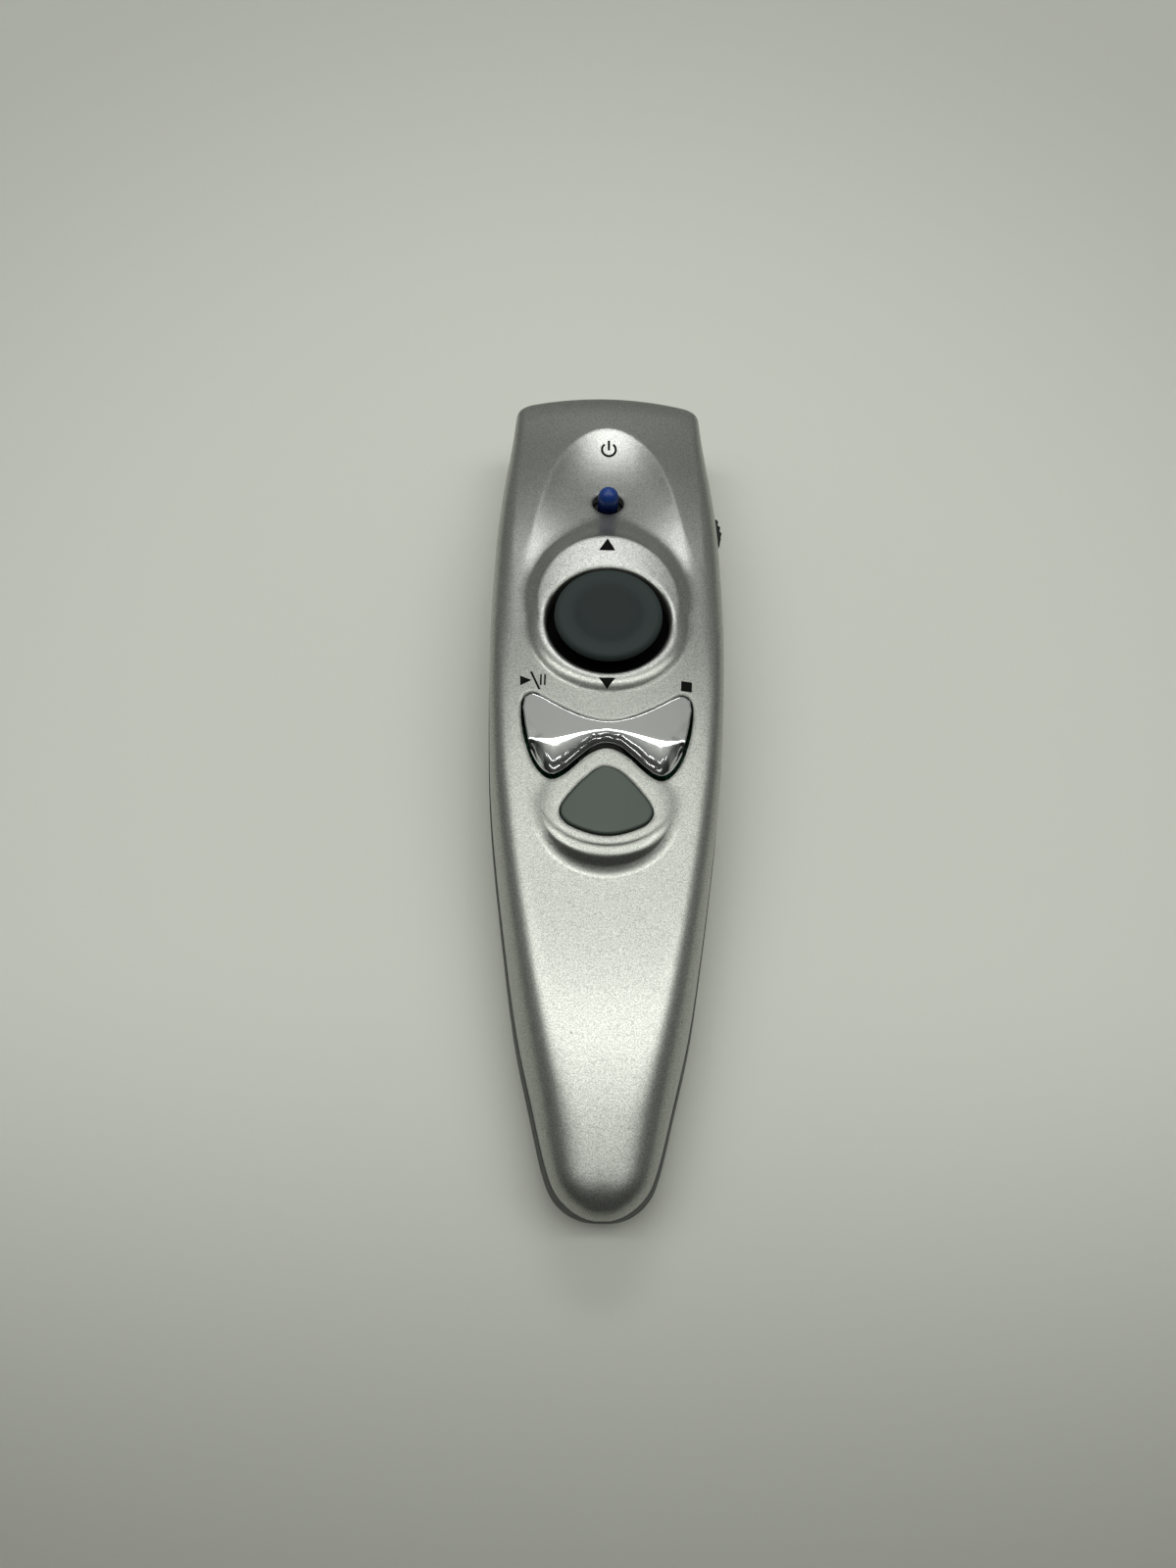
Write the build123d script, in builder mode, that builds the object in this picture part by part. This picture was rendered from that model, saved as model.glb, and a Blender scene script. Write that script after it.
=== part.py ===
from build123d import *
from math import cos, radians, sin, sqrt
import os

# Hand-held wireless presentation clicker. Millimetres. X is across the body, +Y points out of the
# front (laser) end and Z is up from the flat underside. The origin is the centre of the underside.

# ---------------------------------------------------------------- driving dimensions
# Body
body_length = 152.0
body_width = 41.4
wall = 1.8
seam_z = 10.0             # height of the parting line between the two shells
seam_step = 0.12          # the lower shell stands this far proud of the upper one
tongue_height = 1.2
tongue_gap = 0.10
side_draft = 0.6          # how much narrower the sides are at the shoulder
foot_curve = 5.5          # width of the rounded lower edge
foot_trim = 0.5           # depth trimmed off the rounded form to give the flat underside
crown_radius = 110.0      # cross curvature of the top
draft_share = 0.1         # the side draft takes no more than this share of a narrow half width
shoulder_limits = (0.75, 0.8)   # most of the half width and of the height over the seam for a shoulder
foot_min = 0.35           # least half width of the flat underside, as a share of the half width
foot_height = 0.7         # top of the rounded lower edge, as a share of the seam's height
round_pull = 0.55         # length of a Bezier handle that gives a near-circular corner
nose_round = 1.0          # radius of the top front edge
front_bow = 2.2           # how far the middle of the front end bows out
front_corner = 4.5        # plan radius of the front corners
edge_break = 0.45         # small moulded radius on openings
tail_radius = 8.8         # plan radius of the round tail
tail_blunt = 0.8          # 1 would be a spherical tail, lower is blunter
tail_crown = 15.6         # height of the top where the round tail starts
tail_shoulder = 6.2
tail_rise = 0.6           # lift of the underside where the round tail starts
tail_rise_length = 12.0
tail_angles = (14, 34, 52, 68, 82)

# Stations from the nose to the tail: share of the half length, share of the half width,
# height of the crown, shoulder radius.
stations = (
    (1.030, 0.850, 15.7, 1.4),
    (0.880, 0.903, 18.6, 1.8),
    (0.700, 0.954, 21.3, 2.6),
    (0.530, 0.990, 23.3, 3.1),
    (0.370, 1.000, 24.2, 3.3),
    (0.220, 0.998, 24.4, 3.3),
    (0.060, 0.978, 23.5, 3.4),
    (-0.120, 0.937, 21.95, 4.0),
    (-0.300, 0.860, 20.5, 4.6),
    (-0.500, 0.750, 19.35, 5.4),
    (-0.690, 0.624, 18.2, 6.2),
    (-0.815, 0.508, 16.8, 6.4),
)

# Scooped trough in front of the thumb pad: y, height of its floor, height of its edges
trough_half_span = 18.0
trough = (
    (72.0, 18.75, 24.8),
    (61.0, 18.65, 24.5),
    (50.0, 19.65, 24.1),
    (40.0, 21.50, 23.5),
    (30.0, 22.80, 23.6),
    (18.0, 23.90, 24.2),
)
# Egg-shaped dome that the trough runs round, with a hollow flank: height, front end, half width
dome_tail_y = 8.0
dome = (
    (19.0, 52.5, 19.4),
    (20.1, 46.3, 18.7),
    (21.3, 42.1, 17.6),
    (22.9, 38.4, 15.4),
    (24.5, 35.9, 12.0),
)

# Thumb pad
pad_y = 18.5
pad_radius = 9.1
pad_top = 26.4
pad_height = 3.0
pad_dish_radius = 5.4
pad_dish_depth = 0.5
pad_round = 1.1           # radius of its upper edge
pad_taper = 1.3           # how much narrower it is underneath
dish_round = 0.9
dish_lip = 0.18
pad_tilt_gap = 1.4        # free ring between the pad and its well
collar_top = 24.5
collar_round = 0.8        # radius of the well's edge
collar_land = 0.9         # flat width of the collar's rim
collar_flank = 4.6        # plan width of the collar's side, which falls in an S-curve
collar_drop = 1.95
collar_blend = 0.1        # slope at which that side meets the body
stick_radius = 1.5
pivot_height = 2.6        # tilt centre above the circuit board
gimbal_pin_radius = 0.45
pin_gap = 0.05            # running clearance of small pins
pin_end_gap = 0.2
nav_base_size = 13.0
nav_base_height = 4.3
nav_base_corner = 1.0
nav_base_wall = 0.6       # floor under the bore, and what closes the ends of the pin holes
nav_bore_radius = 4.6
gimbal_outer = 3.9
gimbal_inner = 2.7
gimbal_height = 1.4
stick_hub_radius = 1.9
stick_neck = 1.4          # height of the cone from the hub up to the stick
stick_sink = 1.0          # skin of the pad over the stick's end
liner_skirt = 1.2         # wall of the skirt under the collar that carries the liner
liner_thickness = 0.8
liner_sink = 3.3          # how far the liner's rim lies below the collar's
liner_clearance = 0.4
liner_mouth = 2.9

# Raised saddle that carries the rocker and the enter key, with its crescent step at the tail end
saddle_z = 22.7           # height at y = 0
saddle_slope = 0.039
saddle_radius = 50.0
saddle_end_y = -21.95
saddle_end_radius = 12.0
ledge_drop = 0.42
ledge_radius = 68.0
crescent_tip = (11.0, -14.5)               # where the crescent step runs out, to either side
crescent_flank = ((20.0, -25.6), (22.6, -21.7))   # height and tail end of two levels of its flank

# Power button
power_y = 46.6
power_well_radius = 2.9
power_radius = 1.85
power_top = 23.9
power_flange = 0.8
power_flange_radius = 3.6
power_travel = 0.5

# Rocker key (right half of its opening, from the front middle round to the tail middle)
rocker_outline = (
    (0.0, -0.5), (6.4, 1.45), (10.6, 3.9), (12.5, 4.75), (13.85, 3.9), (14.2, 1.9), (13.8, -1.9),
    (12.8, -5.7), (11.0, -9.1), (8.8, -10.6), (6.7, -9.8), (4.3, -7.65), (0.0, -5.35),
)
rocker_gap = 0.7
rocker_shift = 0.35       # how far the key stands towards the front in its opening
rocker_profile = ((8.0, 23.75), (2.0, 23.45), (-2.6, 23.5), (-6.0, 23.1), (-9.0, 22.45), (-12.0, 21.5))
rocker_dip = 0.45         # hollow across the middle of its top
rocker_plate = 1.7
rocker_skirt = 2.3        # depth of its rim below the housing surface
rocker_pocket_x = 8.9
rocker_pocket = (3.2, 4.0)
rocker_facet = ((13.4, 3.0), (9.0, -9.6))
rocker_facet_angle = 24.0
facet_fall = 0.9
rocker_tilt = 2.5
rocker_pin_y = -2.7
rocker_pin_radius = 0.7
rocker_pin_height = 3.9   # above the circuit board
rocker_boss_length = 2.8
rocker_boss_radius = 1.6
rocker_switch_x = 8.0

# Enter key (right half of its opening, from the apex round to the tail middle)
enter_outline = (
    (0.0, -8.45), (2.2, -9.3), (4.2, -11.15), (6.5, -13.9), (7.5, -16.15), (6.8, -17.9),
    (4.6, -19.4), (0.0, -20.55),
)
enter_y = -14.8
enter_gap = 0.22
enter_proud = 0.55
enter_travel = 0.6
enter_flange = 0.9
enter_reach = (8.0, 6.5)  # reach of the flange from the key's middle, across and towards the tail

# Push switches on the board
switch_size = 6.0
switch_corner = 0.4
side_switch_height = 3.2  # the two under the rocker
side_plunger_out = 0.9
enter_switch_height = 1.8
plunger_radius = 1.5
power_switch_size = 4.4
power_switch_height = 1.2
power_plunger_radius = 0.9
plunger_depth = 0.5       # share of a switch's height that its plunger fills at rest
press_gap = 0.10          # spare gap left under a key at the end of its travel
stop_gap = 0.15           # gap between a key's flange and the housing at rest

# Rocker bracket
ear_thickness = 1.2
ear_width = 4.2
ear_over_pin = 1.1
bracket_base = 0.8
bracket_width = 9.0
ear_gap = 0.2

# Mode slider on the right side
slider_y = 46.0
slider_length = 6.6
slider_height = 2.2
slider_proud = 1.4
slider_travel = 2.4
slider_z = 12.2
slider_ribs = (0.55, 0.85, 1.0, 0.85, 0.55)   # how far each rib stands out, as a share of the tallest
slider_gap = 0.25
slider_flange = 0.9
slider_nub = 1.2
slider_rib_root = 0.2     # how far the ribs' middle line stands out from the side
slider_rib_lap = 0.02
slider_lip = 0.5          # how much taller its flange is than the window, up and down
mode_switch_depth = 3.6
mode_switch_length = 9.0
mode_switch_drop = 1.6    # from the slider's middle down to the underside of its switch
mode_switch_back = 0.6

# Battery bay (two AAA cells side by side)
cell_radius = 5.25
cell_length = 44.5
cell_gap = 0.35
bay_wall = 1.2
bay_front_y = 7.0
spring_room = 3.4
contact_thickness = 0.4
contact_room = 0.5
roof_thickness = 0.8
door_overlap = 0.6        # how far the door reaches past the bay on each side
door_gap = 0.2
door_recess = 0.25
door_thickness = 1.45
door_corner = 2.0
door_seat_gap = 0.1
grip_grooves = 3
grip_pitch = 2.2
grip_depth = 0.4

# Circuit board
board_gap = 0.2
board_thickness = 1.0
board_side_gap = 1.3
board_front_y = 57.5
board_tail_y = -22.5
board_spans = 5           # spans of its curved sides
board_posts = ((13.0, 27.0), (10.2, 53.6))
post_radius = 1.9
board_screw_radius = 0.8
board_screw_head = 1.5
board_screw_length = 5.0
board_screw_head_height = 0.9
hole_gap = 0.15
chip = dict(x=0, y=35.0, width=7.0, length=7.0, height=0.9, corner=0.3)
shield_can = dict(x=-8.6, y=43.5, width=8.0, length=9.0, height=1.6, corner=0.3)
crystal_can = dict(x=8.0, y=37.0, width=5.0, length=3.2, height=1.1, corner=0.8)

# Housing screws
housing_bosses = ((-11.5, 64.0), (11.5, 64.0), (0.0, -56.0))
boss_radius = 2.4
screw_radius = 1.0
screw_head_radius = 1.9
screw_head_height = 1.5
screw_sink = 3.2
screw_reach = 4.0         # length of thread in the upper boss
thread_bite = 0.15        # radial bite of a thread in its pilot hole
pilot_spare = 0.5

# Laser pointer
laser_z = 6.6
laser_radius = 3.2
laser_length = 12.5
laser_lens_radius = 1.6
laser_bezel_radius = 2.7
laser_bezel_rim = 0.6
laser_aperture = 1.5
cradle_thickness = 1.6
cradle_seat = 0.02        # running clearance of the barrel in its cradles
laser_set_back = 0.3
diode_length = 3.0        # part of the diode inside the barrel
diode_flange = 1.2
diode_flange_radius = 2.8
lens_edge = 1.2
lens_bulge = 1.7
lens_face_radius = 1.1
bezel_gap = 0.1
bezel_cone = (0.7, 0.9)   # chamfer round the aperture: radial, axial

# ---------------------------------------------------------------- levels worked out from them
half_length = body_length / 2
half_width = body_width / 2
cell_z = wall + cell_gap + cell_radius
roof_z = cell_z + cell_radius + cell_gap
board_z = roof_z + roof_thickness + board_gap
board_top = board_z + board_thickness
pivot_z = board_top + pivot_height
well_radius = pad_radius + pad_tilt_gap
tail_centre_y = tail_radius - half_length
tall = 2 * seam_z + tail_crown
nose_edge_z = stations[0][2]


def interpolate(rows, y, column):
    """Smooth value of one column of a table whose first column falls along the body."""
    n = len(rows)
    i = 0
    while i < n - 2 and rows[i + 1][0] > y:
        i += 1
    y0, y1 = rows[i][0], rows[i + 1][0]
    v0, v1 = rows[i][column], rows[i + 1][column]
    step = (v1 - v0) / (y1 - y0)
    before = (v0 - rows[i - 1][column]) / (y0 - rows[i - 1][0]) if i > 0 else step
    after = (rows[i + 2][column] - v1) / (rows[i + 2][0] - y1) if i < n - 2 else step
    t = (y - y0) / (y1 - y0)
    m0 = (before + step) / 2 * (y1 - y0)
    m1 = (after + step) / 2 * (y1 - y0)
    return ((2 * t**3 - 3 * t**2 + 1) * v0 + (t**3 - 2 * t**2 + t) * m0
            + (3 * t**2 - 2 * t**3) * v1 + (t**3 - t**2) * m1)


body_rows = [(s * half_length, w * half_width, z, r) for s, w, z, r in stations]
body_rows.append((tail_centre_y, tail_radius, tail_crown, tail_shoulder))


def side_x(y):
    """Half width of the body at the seam."""
    return interpolate(body_rows, y, 1)


def top_z(x, y):
    """Height of the plain crowned top, without trough, dome or saddle."""
    return interpolate(body_rows, y, 2) - x**2 / (2 * crown_radius)


def trough_z(y):
    return interpolate(trough, y, 1)


def mirrored(points, inset=0.0):
    """Closed, left-right symmetric list of points, each moved inwards by the inset."""
    ring = [*points, *[(-x, y) for x, y in reversed(points[1:-1])]]
    moved = []
    for i, (x, y) in enumerate(ring):
        before, after = Vector(*ring[i - 1]), Vector(*ring[(i + 1) % len(ring)])
        along = (after - before).normalized()
        moved.append((x + along.Y * inset, y - along.X * inset))
    return moved


def body_section(y, width, crown, shoulder, floor):
    """Face across the body at y: flat foot, rounded lower edge, drafted side, shoulder, crown."""
    top_width = width - min(side_draft, draft_share * width)
    reach_x = min(shoulder, shoulder_limits[0] * top_width)
    edge_x = top_width - reach_x
    edge_z = crown - edge_x**2 / (2 * crown_radius)
    reach_z = min(shoulder, shoulder_limits[1] * (edge_z - seam_z))
    foot_x = max(width - foot_curve, foot_min * width)
    low_z = floor + foot_height * (seam_z - floor)
    lean = (top_width - width) / (edge_z - reach_z - low_z)
    tip = edge_x / crown_radius
    k = round_pull
    foot = (foot_x, floor)
    low = (width, low_z)
    side = (top_width, edge_z - reach_z)
    edge = (edge_x, edge_z)
    lower = ((foot_x + k * (width - foot_x), floor), (width - lean * k * low_z, low_z - k * (low_z - floor)))
    upper = ((side[0] + lean * k * reach_z, side[1] + k * reach_z),
             (edge_x + k * reach_x, edge_z - k * reach_x * tip))
    with BuildSketch(Plane.XZ.offset(-y)) as section:
        with BuildLine():
            Line((-foot_x, floor), foot)
            Bezier(foot, *lower, low)
            Line(low, side)
            Bezier(side, *upper, edge)
            ThreePointArc(edge, (0, crown), (-edge_x, edge_z))
            Bezier((-edge_x, edge_z), *[(-x, z) for x, z in reversed(upper)], (-side[0], side[1]))
            Line((-side[0], side[1]), (-width, low_z))
            Bezier((-width, low_z), *[(-x, z) for x, z in reversed(lower)], (-foot_x, floor))
        make_face()
    return section.sketch


def body_solid(inset):
    """The whole moulded form, offset inwards by the inset, with its front end trimmed to plan."""
    scale = (half_length - inset - tail_centre_y) / (half_length - tail_centre_y)
    sections = []
    for y, width, crown, shoulder in body_rows[:-1]:
        rise = max(0.0, tail_rise * (1 - (y - tail_centre_y) / tail_rise_length))
        sections.append(body_section(
            tail_centre_y + (y - tail_centre_y) * scale, width - inset, crown - inset,
            max(shoulder - inset, side_draft), rise + inset - foot_trim))
    for angle in tail_angles:
        y = tail_centre_y - (tail_radius - inset) * sin(radians(angle))
        fade = cos(radians(angle)) ** tail_blunt
        width = (tail_radius - inset) * cos(radians(angle))
        crown = seam_z + (tail_crown - inset - seam_z) * fade
        floor = seam_z - (seam_z - tail_rise - inset + foot_trim) * fade
        sections.append(body_section(y, width, crown, tail_shoulder, floor))
    corner_y = half_length - inset - front_corner
    slope = (side_x(corner_y - 1) - side_x(corner_y + 1)) / 2
    side = side_x(corner_y) - inset
    nose_x = side - slope * (half_length - front_bow - inset - corner_y)
    with BuildPart() as solid:
        for section in sections:
            add(section)
        loft()
        with BuildSketch(Plane.XY.offset(max(inset, 0))) as plan:
            with BuildLine():
                front = ThreePointArc((nose_x, half_length - inset - front_bow), (0, half_length - inset),
                                      (-nose_x, half_length - inset - front_bow))
                Polyline(front @ 1, (-side - slope * (corner_y + half_length), -body_length),
                         (side + slope * (corner_y + half_length), -body_length), front @ 0)
            make_face()
            fillet(plan.vertices().group_by(Axis.Y)[-1], front_corner - inset)
        extrude(amount=tall, mode=Mode.INTERSECT)
    return solid.part


# ---------------------------------------------------------------- the moulded form and its cutters
with BuildPart() as outer_form:
    add(body_solid(0.0))
    nose_edges = outer_form.edges().filter_by_position(Axis.Y, half_length - 2 * front_corner, body_length)
    fillet(nose_edges.filter_by_position(Axis.Z, nose_edge_z - nose_round, tall), nose_round)

lower_form = body_solid(-seam_step)
inner_form = body_solid(wall)
groove_form = body_solid((wall - tongue_gap) / 2)
tongue_form = body_solid((wall + tongue_gap) / 2)
bay_form = body_solid(wall + board_gap)
door_form = body_solid(door_recess)
seam = Plane.XY.offset(seam_z)


def trough_section(y, floor_z, edge_z):
    """Cutter profile across the trough: a wide arc, open upwards."""
    span = trough_half_span
    with BuildSketch(Plane.XZ.offset(-y)) as section:
        with BuildLine():
            arc = ThreePointArc((-span, edge_z), (0, floor_z), (span, edge_z))
            Polyline(arc @ 1, (span, tall), (-span, tall), arc @ 0)
        make_face()
    return section.sketch


with BuildPart() as dome_form:
    for height, front_y, dome_half_width in dome:
        with BuildSketch(Plane.XY.offset(height)):
            with Locations((0, (dome_tail_y + front_y) / 2)):
                Ellipse(dome_half_width, (front_y - dome_tail_y) / 2)
    loft()

with BuildPart() as trough_cut:
    for row in trough:
        add(trough_section(*row))
    loft()
    add(dome_form.part, mode=Mode.SUBTRACT)

# Collar round the thumb pad's well: flat rim and a side that falls in an S-curve
collar_radius = well_radius + collar_land
with BuildPart() as collar:
    with BuildSketch(Plane.XZ.offset(-pad_y)):
        with BuildLine():
            Polyline((0, seam_z), (0, collar_top), (collar_radius, collar_top))
            Spline((collar_radius, collar_top), (collar_radius + collar_flank, collar_top - collar_drop),
                   tangents=((1, 0), (1, -collar_blend)))
            Polyline((collar_radius + collar_flank, collar_top - collar_drop),
                     (collar_radius + collar_flank, seam_z), (0, seam_z))
        make_face()
    revolve(axis=Axis((0, pad_y, 0), (0, 0, 1)))


def tilted_cylinder(top, cross):
    """Long cylinder that slopes with the saddle; top is the height of its upper line at y = 0."""
    with BuildPart() as cylinder:
        with BuildSketch(Plane(origin=(0, 0, top - cross), x_dir=(1, 0, 0), z_dir=(0, 1, saddle_slope))):
            Circle(cross)
        extrude(amount=body_length, both=True)
    return cylinder.part


with BuildPart() as saddle:
    with BuildSketch(Plane.XY.offset(seam_z)):
        with Locations((0, saddle_end_y + saddle_end_radius)):
            Circle(saddle_end_radius)
    extrude(amount=tall)
    add(tilted_cylinder(saddle_z, saddle_radius), mode=Mode.INTERSECT)

# Crescent step: a leaning cone whose rims all run through the two tips
with BuildPart() as ledge:
    for height, end_y in crescent_flank:
        depth = crescent_tip[1] - end_y
        rim_radius = (crescent_tip[0] ** 2 + depth**2) / (2 * depth)
        with BuildSketch(Plane.XY.offset(height)):
            with Locations((0, end_y + rim_radius)):
                Circle(rim_radius)
    loft(ruled=True)
    add(tilted_cylinder(saddle_z - ledge_drop, ledge_radius), mode=Mode.INTERSECT)


def outline_sketch(points, height, inset=0.0):
    """Smooth closed outline on a level plane."""
    with BuildSketch(Plane.XY.offset(height)) as outline:
        with BuildLine():
            Spline(*mirrored(points, inset), periodic=True)
        make_face()
    return outline.sketch


# ---------------------------------------------------------------- levels of the keys
ceiling_enter = top_z(enter_reach[0], enter_y - enter_reach[1]) - wall
enter_flange_top = ceiling_enter - stop_gap
enter_flange_low = enter_flange_top - enter_flange
power_ceiling = trough_z(power_y + power_flange_radius) - wall
power_flange_top = power_ceiling - stop_gap
power_flange_low = power_flange_top - power_flange
pin_z = board_top + rocker_pin_height
liner_seat = collar_top - liner_sink
bay_half = 2 * cell_radius + 1.5 * cell_gap
bay_tail_y = bay_front_y - contact_room - cell_length - spring_room
bay_middle_y = (bay_front_y + bay_tail_y) / 2
bay_length = bay_front_y - bay_tail_y
slot_middle_y = slider_y + slider_travel / 2
slot_length = slider_length + slider_travel + 2 * slider_gap
slot_height = slider_height + 2 * slider_gap
lower_boss_radius = screw_head_radius + bay_wall

# Hollow inside of the upper shell, with what stands in it left out
with BuildPart() as upper_hollow:
    add(inner_form)
    split(bisect_by=seam, keep=Keep.TOP)
    add(trough_cut.part.moved(Location((0, 0, -wall))), mode=Mode.SUBTRACT)
    with BuildSketch(Plane.XY.offset(liner_seat)):
        with Locations((0, pad_y)):
            Circle(well_radius + liner_skirt)
            Circle(well_radius, mode=Mode.SUBTRACT)
    extrude(amount=tall, mode=Mode.SUBTRACT)
    with BuildSketch(seam):
        with Locations(*housing_bosses):
            Circle(boss_radius)
    extrude(amount=tall, mode=Mode.SUBTRACT)


def seam_ring(form, height):
    """Band of wall just above the seam, between a form and the hollow inside."""
    with BuildPart() as ring:
        add(form)
        with BuildSketch(seam):
            Rectangle(2 * body_width, 2 * body_length)
        extrude(amount=height, mode=Mode.INTERSECT)
        add(inner_form, mode=Mode.SUBTRACT)
    return ring.part


tongue = seam_ring(tongue_form, tongue_height)
groove = seam_ring(groove_form, tongue_height + tongue_gap)

# Window in the side wall for the mode slider
with BuildPart() as slider_slot:
    with BuildSketch(Plane.YZ.offset(half_width / 2)):
        with Locations((slot_middle_y, slider_z)):
            Rectangle(slot_length, slot_height)
    extrude(amount=half_width)

# ---------------------------------------------------------------- upper shell
with BuildPart() as top_shell:
    add(outer_form.part)
    split(bisect_by=seam, keep=Keep.TOP)
    add(trough_cut.part, mode=Mode.SUBTRACT)
    add(dome_form.part)
    add(collar.part)
    add(ledge.part)
    add(saddle.part)
    add(upper_hollow.part, mode=Mode.SUBTRACT)
    add(groove, mode=Mode.SUBTRACT)
    add(slider_slot.part, mode=Mode.SUBTRACT)
    with BuildSketch(seam):
        with Locations((0, pad_y)):
            Circle(well_radius)
        with Locations((0, power_y)):
            Circle(power_well_radius)
        add(outline_sketch(rocker_outline, seam_z))
        add(outline_sketch(enter_outline, seam_z))
    extrude(amount=tall, mode=Mode.SUBTRACT)
    with BuildSketch(seam):
        with Locations(*housing_bosses):
            Circle(screw_radius - thread_bite)
    extrude(amount=screw_reach + pilot_spare, mode=Mode.SUBTRACT)
    rims = top_shell.edges().filter_by(GeomType.CIRCLE).group_by(Axis.Z)[-1]
    fillet(rims.sort_by(SortBy.RADIUS)[0], collar_round)

# ---------------------------------------------------------------- lower shell
laser_front_y = half_length - wall - laser_set_back
laser_tail_y = laser_front_y - laser_length
laser_middle_y = laser_front_y - laser_length / 2
posts = [(side * x, y) for x, y in board_posts for side in (-1, 1)]
bay_floor = door_recess + door_thickness + door_seat_gap

with BuildPart() as lower_hollow:
    add(inner_form)
    split(bisect_by=seam, keep=Keep.BOTTOM)
    with BuildSketch(Plane.XY.offset(wall)):
        with Locations(*housing_bosses):
            Circle(lower_boss_radius)
        with Locations(*posts):
            Circle(post_radius)
    extrude(amount=tall, mode=Mode.SUBTRACT)
    with BuildSketch(Plane.XY.offset(wall)):
        with Locations((0, laser_middle_y)):
            with GridLocations(0, laser_length - 2 * cradle_thickness, 1, 2):
                Rectangle(2 * (laser_radius + cradle_thickness), cradle_thickness)
    extrude(amount=laser_z - wall, mode=Mode.SUBTRACT)

# Walls and roof round the two cells, kept clear of the upper shell
with BuildPart() as battery_bay:
    with BuildSketch(Plane.XY.offset(bay_floor)):
        with Locations((0, bay_middle_y)):
            Rectangle(2 * (bay_half + bay_wall), bay_length + 2 * bay_wall)
    extrude(amount=roof_z + roof_thickness - bay_floor)
    add(bay_form, mode=Mode.INTERSECT)
    with BuildSketch(Plane.XY.offset(bay_floor)):
        with Locations((0, bay_middle_y)):
            Rectangle(2 * (bay_half + bay_wall), bay_length + 2 * bay_wall)
    extrude(amount=seam_z - bay_floor)

with BuildPart() as bottom_shell:
    add(lower_form)
    split(bisect_by=seam, keep=Keep.BOTTOM)
    add(lower_hollow.part, mode=Mode.SUBTRACT)
    add(tongue)
    add(battery_bay.part)
    # board posts above the seam
    with BuildSketch(Plane.XY.offset(wall)):
        with Locations(*posts):
            Circle(post_radius)
    extrude(amount=board_z - wall)
    # room for the cells, opening for the door
    with BuildSketch():
        with Locations((0, bay_middle_y)):
            Rectangle(2 * bay_half, bay_length)
    extrude(amount=roof_z, mode=Mode.SUBTRACT)
    with BuildSketch():
        with Locations((0, bay_middle_y)):
            RectangleRounded(2 * (bay_half + door_overlap + door_gap),
                             bay_length + 2 * (door_overlap + door_gap), door_corner + door_gap)
    extrude(amount=bay_floor, mode=Mode.SUBTRACT)
    # bores of the board posts and of the housing screws
    with BuildSketch(Plane.XY.offset(board_z)):
        with Locations(*posts):
            Circle(board_screw_radius - thread_bite)
    extrude(amount=-board_screw_length, mode=Mode.SUBTRACT)
    with BuildSketch():
        with Locations(*housing_bosses):
            Circle(screw_radius + hole_gap)
    extrude(amount=seam_z, mode=Mode.SUBTRACT)
    with BuildSketch():
        with Locations(*housing_bosses):
            Circle(screw_head_radius + hole_gap)
    extrude(amount=screw_sink, mode=Mode.SUBTRACT)
    # cradles of the laser barrel and the hole in the nose
    with BuildSketch(Plane.XZ.offset(-laser_front_y)):
        with Locations((0, laser_z)):
            Circle(laser_radius + cradle_seat)
    extrude(amount=laser_length, mode=Mode.SUBTRACT)
    with BuildSketch(Plane.XZ.offset(-laser_front_y)):
        with Locations((0, laser_z)):
            Circle(laser_bezel_radius + cradle_seat)
    extrude(amount=-body_width, mode=Mode.SUBTRACT)
    add(slider_slot.part, mode=Mode.SUBTRACT)

# ---------------------------------------------------------------- battery door
with BuildPart() as battery_door:
    add(door_form)
    with BuildSketch():
        with Locations((0, bay_middle_y)):
            RectangleRounded(2 * (bay_half + door_overlap), bay_length + 2 * door_overlap, door_corner)
    extrude(amount=door_recess + door_thickness, mode=Mode.INTERSECT)
    with BuildSketch(Plane.XY.offset(door_recess)):
        with Locations((0, bay_front_y - 2 * grip_pitch)):
            with GridLocations(0, grip_pitch, 1, grip_grooves):
                SlotOverall(bay_half, grip_pitch / 2)
    extrude(amount=grip_depth, mode=Mode.SUBTRACT)

# ---------------------------------------------------------------- cells and their contacts
cell_x = cell_radius + cell_gap / 2
nub_length = 0.8
nub_radius = 1.9


def cell(x, nub_forward):
    """One AAA cell with its positive nub towards the nose or the tail."""
    nub_y = bay_front_y - contact_room if nub_forward else bay_tail_y + contact_room
    turn = 1 if nub_forward else -1
    with BuildPart() as battery:
        with BuildSketch(Plane(origin=(x, nub_y, cell_z), x_dir=(turn, 0, 0), z_dir=(0, -turn, 0))):
            Circle(nub_radius)
        extrude(amount=cell_length)
        with BuildSketch(Plane(origin=(x, nub_y - turn * nub_length, cell_z),
                               x_dir=(turn, 0, 0), z_dir=(0, -turn, 0))):
            Circle(cell_radius)
        extrude(amount=cell_length - nub_length)
        chamfer(battery.edges().filter_by(GeomType.CIRCLE).sort_by(SortBy.RADIUS)[-2:], edge_break)
    return battery.part


battery_left = cell(-cell_x, True)
battery_right = cell(cell_x, False)

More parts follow.
